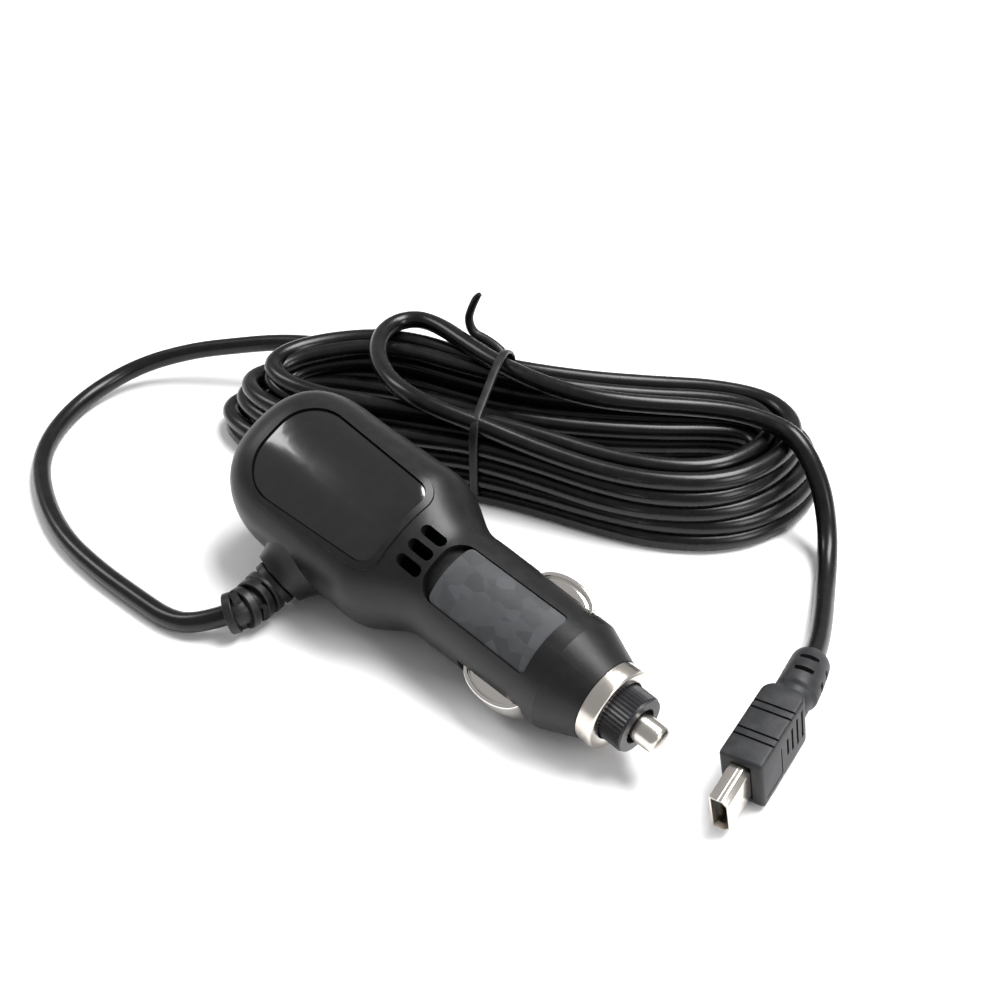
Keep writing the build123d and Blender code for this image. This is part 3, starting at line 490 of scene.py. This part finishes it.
mould_plastic = plastic(
    "mould_plastic", rgb(0.015, 0.0155, 0.017), 0.44, 0.58, 0.06, 3000.0, 0.00003, **MATTE
)
ferrite = plastic("ferrite", rgb(0.03, 0.03, 0.033), 0.5, 0.7, 0.0, 3500.0, 0.00004)
sleeve_film = plastic("sleeve_film", rgb(0.01, 0.014, 0.05), 0.2, 0.3, 0.02)
chip_epoxy = plastic("chip_epoxy", rgb(0.012, 0.012, 0.012), 0.5, 0.62, 0.0)
board_green = plastic(
    "board_green", rgb(0.01, 0.10, 0.035), 0.25, 0.4, 0.02, 900.0, 0.00001, Coat_Weight=0.3
)
wire_red = plastic("wire_red", rgb(0.45, 0.015, 0.01), 0.3, 0.42, 0.02)
wire_black = plastic("wire_black", rgb(0.01, 0.01, 0.01), 0.3, 0.42, 0.02)
print("plastics and rubbers", len(bpy.data.materials), "materials so far")

# %% [markdown]
# ## Metals and glass
# The ring, the tip and the plug's mouth are nickel-plated, which looks a little warmer than steel. A
# plated part is smooth with fine hairlines, so it is a metal with low roughness. Glass is the one plain
# material here: its transmission works only as an even value on the shader.

# %% Metals and glass
nickel = metal("nickel", rgb(0.66, 0.62, 0.57), 0.16, 0.30)
spring_steel = metal("spring_steel", rgb(0.80, 0.77, 0.73), 0.10, 0.22, 300.0, 0.00001)
screw_steel = metal("screw_steel", rgb(0.40, 0.40, 0.41), 0.25, 0.4)
brass = metal("brass", rgb(0.85, 0.66, 0.30), 0.15, 0.3)
copper = metal("copper", rgb(0.83, 0.42, 0.24), 0.18, 0.35)
fuse_wire_metal = metal("fuse_wire_metal", rgb(0.8, 0.8, 0.78), 0.2, 0.3)
fuse_glass = new_material(
    "fuse_glass", Base_Color=rgb(0.93, 0.97, 0.96), Roughness=0.04, Transmission_Weight=1.0, IOR=1.47
)[0]
print("with metals and glass", len(bpy.data.materials), "materials")

# %% [markdown]
# ## Grip inlay
# The grip is a soft frosted inlay with a patchy, mottled print like pressed foil. Cells some 3 mm wide,
# mixed with noise clouds, give it patches that differ a little in brightness, and a fine grain on top
# keeps it matte. An even grey would look like bare plastic.

# %% Grip material
grip_frost, grip_tree, grip_shader = new_material("grip_frost", Specular_IOR_Level=0.35)
grip_coords = grip_tree.nodes.new("ShaderNodeTexCoord")
grip_turn = grip_tree.nodes.new("ShaderNodeMapping")
grip_turn.inputs["Rotation"].default_value = (0.0, 0.0, math.radians(35))
grip_turn.inputs["Scale"].default_value = (1.0, 1.3, 1.0)
patches = grip_tree.nodes.new("ShaderNodeTexVoronoi")
patches.inputs["Scale"].default_value = 360.0
patches.inputs["Randomness"].default_value = 0.85
clouds = grip_tree.nodes.new("ShaderNodeTexNoise")
clouds.inputs["Scale"].default_value = 420.0
clouds.inputs["Detail"].default_value = 4.0
patch_value = grip_tree.nodes.new("ShaderNodeSeparateColor")
blend = grip_tree.nodes.new("ShaderNodeMix")
blend.inputs["Factor"].default_value = 0.42
shades = grip_tree.nodes.new("ShaderNodeValToRGB")
shades.color_ramp.elements[0].position = 0.25
shades.color_ramp.elements[0].color = rgb(0.034, 0.036, 0.039)
shades.color_ramp.elements[1].position = 0.75
shades.color_ramp.elements[1].color = rgb(0.056, 0.060, 0.064)
grip_grain = place_group(grip_tree, grain, Scale=3000.0, Height=0.00003, Smooth=0.46, Rough=0.62)
grip_tree.links.new(grip_coords.outputs["Object"], grip_turn.inputs["Vector"])
grip_tree.links.new(grip_turn.outputs["Vector"], patches.inputs["Vector"])
grip_tree.links.new(grip_coords.outputs["Object"], clouds.inputs["Vector"])
grip_tree.links.new(patches.outputs["Color"], patch_value.inputs["Color"])
grip_tree.links.new(patch_value.outputs["Red"], blend.inputs["A"])
grip_tree.links.new(clouds.outputs["Fac"], blend.inputs["B"])
grip_tree.links.new(blend.outputs["Result"], shades.inputs["Fac"])
grip_tree.links.new(shades.outputs["Color"], grip_shader.inputs["Base Color"])
grip_tree.links.new(grip_grain.outputs["Roughness"], grip_shader.inputs["Roughness"])
grip_tree.links.new(grip_grain.outputs["Normal"], grip_shader.inputs["Normal"])

# %% [markdown]
# ## Table
# The table is plain white card. The dust group gives it a very faint mottle, so that it isn't one even
# white, and it stays pale enough to show the soft shadows.

# %% Table material
table_white, table_tree, table_shader = new_material("table_white", Roughness=0.5)
paper = place_group(table_tree, dust, Base=rgb(0.93, 0.93, 0.94), Dust=rgb(0.90, 0.90, 0.91), Amount=0.3)
table_tree.links.new(paper.outputs["Color"], table_shader.inputs["Base Color"])
table.data.materials.append(table_white)

# %% [markdown]
# ## Dressing the CAD nodes
# Most of the adapter's own parts keep their CAD shape and only need a finish. One table says which
# material goes on which parts, and a loop puts it on. The parts that get a finer mesh below are left out.

# %% Dress the CAD nodes
NODE_MATERIALS = {
    housing_plastic: ["upper_shell", "lower_shell"],
    label_gloss: ["label_plate"],
    grip_frost: ["grip_inlay"],
    cap_plastic: ["fuse_cap"],
    relief_rubber: ["strain_relief"],
    nickel: ["fuse_front_cap", "fuse_rear_cap"],
    spring_steel: ["tip_spring", "plus_terminal"],
    screw_steel: ["housing_screw"],
    brass: ["usb_contacts", "ground_strap_left", "ground_strap_right"],
    copper: ["inductor_winding"],
    fuse_wire_metal: ["fuse_wire"],
    fuse_glass: ["fuse_glass"],
    ferrite: ["inductor_core"],
    sleeve_film: ["input_capacitor", "output_capacitor"],
    chip_epoxy: ["controller_chip", "rectifier_diode", "usb_tongue"],
    board_green: ["circuit_board"],
    wire_red: ["wire_positive"],
    wire_black: ["wire_negative"],
}
for material, names in NODE_MATERIALS.items():
    for name in names:
        node = frame["nodes"][name]
        node.data.materials.clear()
        node.data.materials.append(material)
print("dressed", sum(len(names) for names in NODE_MATERIALS.values()), "CAD nodes")

# %% [markdown]
# ## Working frames
# The adapter lies rolled on its side and the plug has a place of its own, so their pieces are modelled
# in simple frames and then moved. The nose frame starts at the centre of the ring's front, with X out of
# the nose, and the plug frame starts at the front of the moulded body, with X out of the metal mouth.
# Both come from the record's mounts and the roll about their axis. Modelling in place would work too,
# but every size would then be mixed with the tilt.

# %% Frames
NOSE_ROLL = 29.5            # degrees that the adapter is rolled about its axis
RING_MOUNT_BACK = 1.5       # how far the ring's mount lies behind its front
PLUG_ROLL = 7.7             # degrees that the plug is rolled about its axis
USB_MOUTH_L = 7.0           # how far the metal mouth stands out of the moulding


def frame_at(mount_name, roll_deg, back):
    """Matrix of a frame on a mount's axis: X along it, origin moved back along it, rolled about it."""
    way = Vector(mounts[mount_name]["axis"])
    origin = Vector(mounts[mount_name]["pos_m"]) - way * back * MM
    level = Vector((0, 0, 1)).cross(way).normalized()
    upright = way.cross(level)
    roll = Matrix.Rotation(math.radians(roll_deg), 3, way)
    axes = Matrix((way, roll @ level, roll @ upright)).transposed()
    return Matrix.Translation(origin) @ axes.to_4x4()


NOSE_FRAME = frame_at("nose_ring", NOSE_ROLL, -RING_MOUNT_BACK)
PLUG_FRAME = frame_at("mini_usb", PLUG_ROLL, USB_MOUTH_L)


def lathe(name, profile, place, steps=96):
    """Spin a closed outline of (along, radius) in millimetres about X, then place it."""
    bpy.ops.object.select_all(action="DESELECT")
    bpy.ops.mesh.primitive_plane_add(size=0.001, location=(0, 0, 0))
    piece = bpy.context.object
    piece.name = name
    bpy.ops.object.mode_set(mode="EDIT")
    shape = bmesh.from_edit_mesh(piece.data)
    bmesh.ops.delete(shape, geom=shape.verts[:], context="VERTS")
    ring = [shape.verts.new((along * MM, radius * MM, 0)) for along, radius in profile]
    for start, end in zip(ring, ring[1:] + ring[:1]):
        shape.edges.new((start, end))
    bmesh.update_edit_mesh(piece.data)
    bpy.ops.mesh.select_all(action="SELECT")
    bpy.ops.mesh.spin(steps=steps, angle=math.tau, center=(0, 0, 0), axis=(1, 0, 0))
    bpy.ops.mesh.select_all(action="SELECT")
    bpy.ops.mesh.remove_doubles(threshold=0.000001)
    bpy.ops.mesh.normals_make_consistent(inside=False)
    bpy.ops.object.mode_set(mode="OBJECT")
    piece.matrix_world = place
    return piece


# %% [markdown]
# ## Nose ring and tip
# The ring and the sprung tip are turned nickel-plated parts, the shiniest ones on the adapter. A lathe
# shape shows every facet in its reflections, so each is spun from its outline in 96 steps. A cylinder
# with bevels would do for the ring, but an outline holds all its small rounded corners at once.

# %% Nose ring
nose_ring = lathe("nose_ring_polished", [
    (-3.0, 6.2), (-3.0, 6.85), (-2.9, 6.98), (-0.45, 7.0), (-0.2, 6.93), (-0.05, 6.75), (0, 6.5), (0, 5.25),
    (-0.08, 5.08), (-0.25, 5.0), (-0.8, 5.0), (-0.8, 6.2),
], NOSE_FRAME)
finish_piece(nose_ring, "housing", nickel, 40)
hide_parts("nose_ring")

# %% Tip
CAP_INSIDE = 1.15
tip = lathe("tip_polished", [
    (-0.3, 0.0), (-0.3, 3.2), (CAP_INSIDE - 0.1, 3.2), (CAP_INSIDE - 0.05, 2.35), (7.2, 2.35), (7.55, 2.3),
    (7.85, 2.14), (8.06, 1.9), (8.2, 1.5), (8.27, 0.9), (8.3, 0.0),
], NOSE_FRAME)
finish_piece(tip, "tip", nickel, 40)
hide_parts("tip_contact")

# %% [markdown]
# ## Ground springs
# Each side contact is a bowed leaf of plated steel with a skirt on both edges, so it looks like half a
# coin pressed out of the barrel. Its outline is extruded to the leaf's width, its rim is bevelled, and
# each side face gets a pressed line by an inset that is pushed in a little.

# %% Ground springs
SPRING_REAR, SPRING_FRONT = -24.6, -12.2
SPRING_FOOT_Y = 8.4         # where the bow starts, from the axis
SPRING_CROWN = 12.0         # how far it reaches
SPRING_HALF_W = 2.7
SPRING_SKIRT = 0.9          # how far the leaf goes on below its foot line
SPRING_EDGE = 0.3
SPRING_SIDE_STEPS = (       # how far in and how far out each inset of a side face goes
    (0.35, 0), (0.15, -0.3), (0.15, 0), (0.35, 0.22), (0.35, 0.12), (0.3, 0.05),
)


def ground_spring(name, side, body):
    """One side's spring, on the +Y side of the nose frame where side is 1."""
    middle, half = (SPRING_REAR + SPRING_FRONT) / 2, (SPRING_FRONT - SPRING_REAR) / 2
    bpy.ops.object.select_all(action="DESELECT")
    bpy.ops.mesh.primitive_circle_add(vertices=48, radius=half * MM, fill_type="NGON")
    piece = bpy.context.object
    piece.name = name
    rise = (SPRING_CROWN - SPRING_FOOT_Y) / half
    for vertex in piece.data.vertices:
        x, y = vertex.co.x / MM, vertex.co.y / MM
        bow = max(y, 0.0) * rise
        vertex.co = (
            (middle + x) * MM,
            side * (SPRING_FOOT_Y + bow - (SPRING_SKIRT if y < -0.001 else 0.0)) * MM,
            -SPRING_HALF_W * MM,
        )
    bpy.ops.object.mode_set(mode="EDIT")
    bpy.ops.mesh.select_all(action="SELECT")
    bpy.ops.mesh.extrude_region_move(TRANSFORM_OT_translate={"value": (0, 0, 2 * SPRING_HALF_W * MM)})
    bpy.ops.mesh.select_all(action="SELECT")
    bpy.ops.mesh.normals_make_consistent(inside=False)
    pick(piece, "FACE", lambda face: abs(face.normal.z) > 0.9)
    bpy.ops.mesh.bevel(offset=SPRING_EDGE * MM, segments=3, affect="EDGES")
    pick(piece, "FACE", lambda face: abs(face.normal.z) > 0.99)
    for step_in, step_out in SPRING_SIDE_STEPS:
        bpy.ops.mesh.inset(thickness=step_in * MM, depth=step_out * MM)
    bpy.ops.object.mode_set(mode="OBJECT")
    piece.matrix_world = NOSE_FRAME
    finish_piece(piece, body, spring_steel, 30)
    return piece


for side, name in ((1, "left"), (-1, "right")):
    leaf = ground_spring(f"ground_contact_{name}", side, f"ground_{name}")
    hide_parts(f"ground_spring_{name}")

# %% [markdown]
# ## Moulded plug body
# The plug's body is one soft block of matte plastic. Its top has two pairs of shallow grooves and its
# side has slots and a folded line for the fingers. A block is bevelled, and thin cutters taken out with
# a Boolean modifier leave clean grooves.

# %% Block helper


def block(name, low, high, place):
    """A box between two corners in millimetres, in the frame of a placing matrix."""
    bpy.ops.object.select_all(action="DESELECT")
    bpy.ops.mesh.primitive_cube_add(size=1)
    piece = bpy.context.object
    piece.name = name
    low, high = Vector(low) * MM, Vector(high) * MM
    piece.matrix_world = place @ Matrix.Translation((low + high) / 2) @ Matrix.Diagonal((*(high - low), 1))
    select_only(piece)
    bpy.ops.object.transform_apply(location=True, rotation=True, scale=True)
    return piece


def cut(piece, cutters):
    """Cut a list of cutters out of a piece, and delete them."""
    select_only(cutters[0])
    for cutter in cutters[1:]:
        cutter.select_set(True)
    if len(cutters) > 1:
        bpy.ops.object.join()
    tool = bpy.context.object
    modifier = piece.modifiers.new("cut", "BOOLEAN")
    modifier.object = tool
    modifier.solver = "EXACT"
    modifier.use_self = True
    apply_modifiers(piece)
    select_only(tool)
    bpy.ops.object.delete()


# %% Moulded body
MOULD_L, MOULD_W, MOULD_H = 16.0, 7.0, 9.5
REAR_ROUND = 2.2
STAY = Matrix.Identity(4)
mould = block("usb_body", (-MOULD_L, -MOULD_W / 2, -MOULD_H / 2), (0, MOULD_W / 2, MOULD_H / 2), STAY)
bpy.ops.object.mode_set(mode="EDIT")


def is_rear_edge(edge):
    """The upright rear edges and the low rear edge, which are rounded."""
    start, end = (v.co for v in edge.verts)
    at_rear = max(start.x, end.x) < -0.9 * MOULD_L * MM
    upright = abs(start.z - end.z) > MM
    return at_rear and (upright or max(start.z, end.z) < 0)


pick(mould, "EDGE", is_rear_edge)
bpy.ops.mesh.bevel(offset=REAR_ROUND * MM, segments=8, affect="EDGES")
bpy.ops.object.mode_set(mode="OBJECT")
soften_edges(mould, 0.55, 40)

# %% Grooves, slots and mouth
TOP_GROOVES = (-4.3, -5.7, -10.0, -11.4)
TOP_HALF_W, TOP_DEPTH = 0.2, 0.35
SIDE_SLOTS = ((-8.3, -1.2, 2.3), (-9.9, -1.8, 2.9), (-11.6, -2.3, 3.3), (-13.3, -2.5, 3.3))
SLOT_HALF_W, SLOT_DEPTH = 0.3, 0.45
LINE_DEPTH = 0.3
USB_HALF_W, USB_HALF_H = 1.525, 3.425
USB_GAP = 0.12              # round the metal shell in the moulding
grooves = []
for groove_x in TOP_GROOVES:
    low = (groove_x - TOP_HALF_W, -5, MOULD_H / 2 - TOP_DEPTH)
    high = (groove_x + TOP_HALF_W, 5, MOULD_H / 2 + 1)
    grooves.append(block("groove", low, high, STAY))
for side in (1, -1):
    far = sorted((side * (MOULD_W / 2 - SLOT_DEPTH), side * (MOULD_W / 2 + 1)))
    for slot_x, slot_low, slot_high in SIDE_SLOTS:
        low, high = (slot_x - SLOT_HALF_W, far[0], slot_low), (slot_x + SLOT_HALF_W, far[1], slot_high)
        grooves.append(block("slot", low, high, STAY))
    near = sorted((side * (MOULD_W / 2 - LINE_DEPTH), side * (MOULD_W / 2 + 1)))
    grooves.append(block("line_up", (-6.4, near[0], -3.4), (-6.1, near[1], 2.2), STAY))
    grooves.append(block("line_along", (-6.4, near[0], -3.4), (-1.2, near[1], -3.1), STAY))
cut(mould, grooves)
hole_half_w, hole_half_h = USB_HALF_W + USB_GAP, USB_HALF_H + USB_GAP
cut(mould, [block("mouth", (-4, -hole_half_w, -hole_half_h), (1, hole_half_w, hole_half_h), STAY)])

# %% [markdown]
# ## Boot
# Behind the body a short ribbed boot keeps the cord from kinking. It is spun straight, with a neck and
# a tapered outside, gets two rows of slots, and is then bent along the same curve as the cord inside it.
# A curve modifier would need a curve of its own, so a short function moves the points along one instead.

# %% Bending helper


def bend(piece, length, start, start_way, end, end_way):
    """Lay a straight piece, X from 0 to length in mm, along a curve between two points."""
    reach = (end - start).length
    way_in, way_out = start_way.normalized() * reach, end_way.normalized() * reach
    for vertex in piece.data.vertices:
        t = vertex.co.x / MM / length
        inside = min(max(t, 0.0), 1.0)
        centre = (
            start * (2 * inside**3 - 3 * inside**2 + 1)
            + way_in * (inside**3 - 2 * inside**2 + inside)
            + end * (3 * inside**2 - 2 * inside**3)
            + way_out * (inside**3 - inside**2)
        )
        along = (
            start * (6 * inside**2 - 6 * inside)
            + way_in * (3 * inside**2 - 4 * inside + 1)
            + end * (6 * inside - 6 * inside**2)
            + way_out * (3 * inside**2 - 2 * inside)
        ).normalized()
        aside = Vector((0, 0, 1)).cross(along).normalized()
        upward = along.cross(aside)
        centre += along * (t - inside) * length
        vertex.co = centre * MM + aside * vertex.co.y + upward * vertex.co.z


# %% Boot
BOOT_L = 11.4
boot = lathe("usb_boot", [
    (-0.8, 1.9), (-0.8, 3.0), (0.6, 2.95), (1.9, 2.95), (2.3, 3.1), (2.6, 3.42), (2.9, 3.5), (4.9, 3.46),
    (5.1, 3.44), (5.9, 3.42), (6.9, 3.38), (7.9, 3.34), (8.7, 3.3), (9.7, 3.26), (10.9, 3.2), (11.25, 3.05),
    (BOOT_L, 2.75), (BOOT_L, 1.9),
], STAY, 64)
boot_slots = []
for row_x in (5.2, 8.2):
    for side in (1, -1):
        far = sorted((side * 2.55, side * 5.0))
        boot_slots.append(block("slot", (row_x - 0.5, -1.55, far[0]), (row_x + 0.5, 1.55, far[1]), STAY))
        boot_slots.append(block("slot", (row_x - 0.5, far[0], -1.55), (row_x + 0.5, far[1], 1.55), STAY))
cut(boot, boot_slots)
mould_rear = (PLUG_FRAME @ Vector((-MOULD_L * MM, 0, 0))) / MM
rear_way = -(PLUG_FRAME.to_3x3() @ Vector((1, 0, 0)))
bend(boot, BOOT_L, mould_rear, rear_way, Vector(PLUG_LEAD[-1]), BOOT_WAY)

# %% Join the boot to the body
mould.matrix_world = PLUG_FRAME
select_only(mould)
bpy.ops.object.transform_apply(location=True, rotation=True, scale=True)
boot.select_set(True)
bpy.ops.object.join()
mould.name = "usb_moulding"
finish_piece(mould, "housing", mould_plastic, 35)
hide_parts("usb_overmould")

# %% [markdown]
# ## Metal mouth
# The mini-USB mouth is folded from thin plated sheet, so it has rounded edges, a seam on each narrow
# side and two cut corners. The front face is inset and pushed in to open it.

# %% USB shell
USB_REAR = -3.9             # where the shell ends inside the moulding
USB_DEPTH = 10.4            # how deep its mouth is
SHEET = 0.3                 # thickness of its sheet
CUT_CORNER = 0.85


def is_cut_corner(edge):
    """The two long edges on the +Y side, whose corners are cut off."""
    start, end = (v.co for v in edge.verts)
    return abs(start.x - end.x) > MM and start.y > 0


usb_low, usb_high = (USB_REAR, -USB_HALF_W, -USB_HALF_H), (USB_MOUTH_L, USB_HALF_W, USB_HALF_H)
usb_shell = block("usb_mouth", usb_low, usb_high, STAY)
bpy.ops.object.mode_set(mode="EDIT")
pick(usb_shell, "EDGE", is_cut_corner)
bpy.ops.mesh.bevel(offset=CUT_CORNER * MM, segments=1, affect="EDGES")
pick(usb_shell, "FACE", lambda face: face.normal.x > 0.9)
bpy.ops.mesh.inset(thickness=SHEET * MM, depth=0)
bpy.ops.mesh.extrude_region_move(TRANSFORM_OT_translate={"value": (-USB_DEPTH * MM, 0, 0)})
bpy.ops.object.mode_set(mode="OBJECT")
soften_edges(usb_shell, 0.13, 30)
seams = []
for side in (1, -1):
    edge_z = sorted((side * (USB_HALF_H - 0.1), side * (USB_HALF_H + 1)))
    seams.append(block("seam", (0.2, -0.07, edge_z[0]), (8, 0.07, edge_z[1]), STAY))
cut(usb_shell, seams)
usb_shell.matrix_world = PLUG_FRAME
finish_piece(usb_shell, "housing", nickel, 30)
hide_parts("usb_shell")

# %% [markdown]
# ## Tie
# A plastic-covered wire holds the hank. It is a flat band round the waist, and its two ends are twisted
# together at the far side and stand up. It could be a swept mesh, but a curve is quicker to shape: one
# with a small extrusion and a round edge makes the band, and a round one that narrows towards its tip
# makes the tail.

# %% Tie band
TIE_PATH = [
    (-15.1, 3), (-15.1, 10), (-15.1, 16.4), (-13.4, 19.0), (-9, 20.0), (-3, 21.3), (3, 22.6), (7.4, 22.2),
    (11, 20.0), (13.0, 17.2), (13.0, 10), (13.0, 3), (11.2, 0.9), (5, 0.5), (-7, 0.5), (-13.2, 0.9),
]
TAIL_PATH = [
    (1.5, 13.2, 14.6), (-1.5, 14.6, 17.6), (-5.5, 16.6, 18.6), (-8.6, 17.2, 19.4), (-9.6, 17.2, 22.6),
    (-8.8, 17.1, 25.4), (-7.6, 17.0, 28.2), (-6.9, 16.9, 28.9),
]
TAIL_RADII = (1.1, 1.15, 1.2, 1.1, 0.95, 0.9, 0.85, 0.5)       # shares of the tail's radius
TAIL_R = 0.95
TIE_U = 1.0
tie_axes = Matrix((HANK_ACROSS, Vector((0, 0, 1)), HANK_ALONG)).transposed()
TIE_FRAME = Matrix.Translation((HANK_AT + HANK_ALONG * TIE_U) * MM) @ tie_axes.to_4x4()


def add_curve(name, points, closed, place):
    """A NURBS curve through points in millimetres, order 3."""
    curve = bpy.data.curves.new(name, "CURVE")
    curve.dimensions = "3D"
    line = curve.splines.new("NURBS")
    line.points.add(len(points) - 1)
    for point, spot in zip(line.points, points):
        point.co = (*(Vector(spot) * MM), 1.0)
    line.order_u = 3
    line.use_cyclic_u = closed
    line.use_endpoint_u = not closed
    line.resolution_u = 6
    curve.use_fill_caps = not closed
    piece = bpy.data.objects.new(name, curve)
    bpy.context.collection.objects.link(piece)
    piece.matrix_world = place
    return piece


def to_mesh(piece):
    """A curve turned into a mesh."""
    select_only(piece)
    bpy.ops.object.convert(target="MESH")
    return bpy.context.object


band = add_curve("tie_band", [(v, z, 0) for v, z in TIE_PATH], True, TIE_FRAME)
band.data.twist_mode = "Z_UP"
band.data.extrude = 0.45 * MM
band.data.bevel_depth = 0.42 * MM
band.data.bevel_resolution = 3
tail = add_curve("tie_tail", [hank_point(*p) for p in TAIL_PATH], False, STAY)
tail.data.bevel_depth = TAIL_R * MM
tail.data.bevel_resolution = 4
for point, share in zip(tail.data.splines[0].points, TAIL_RADII):
    point.radius = share
band, tail = to_mesh(band), to_mesh(tail)
select_only(band)
bpy.ops.object.transform_apply(location=True, rotation=True, scale=True)
tail.select_set(True)
bpy.ops.object.join()
band.name = "tie_of_hank"
finish_piece(band, "housing", tie_plastic, 40)
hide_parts("twist_tie")

# %% [markdown]
# ## The cord's finish
# The cord gets its PVC and rides on the housing, and the CAD model's own cord pieces are hidden.

# %% The cord's finish
cord_curve.materials.append(cord_pvc)
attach(cord, "housing")
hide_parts("cord_adapter_lead", "cord_plug_lead", "cord_hank")
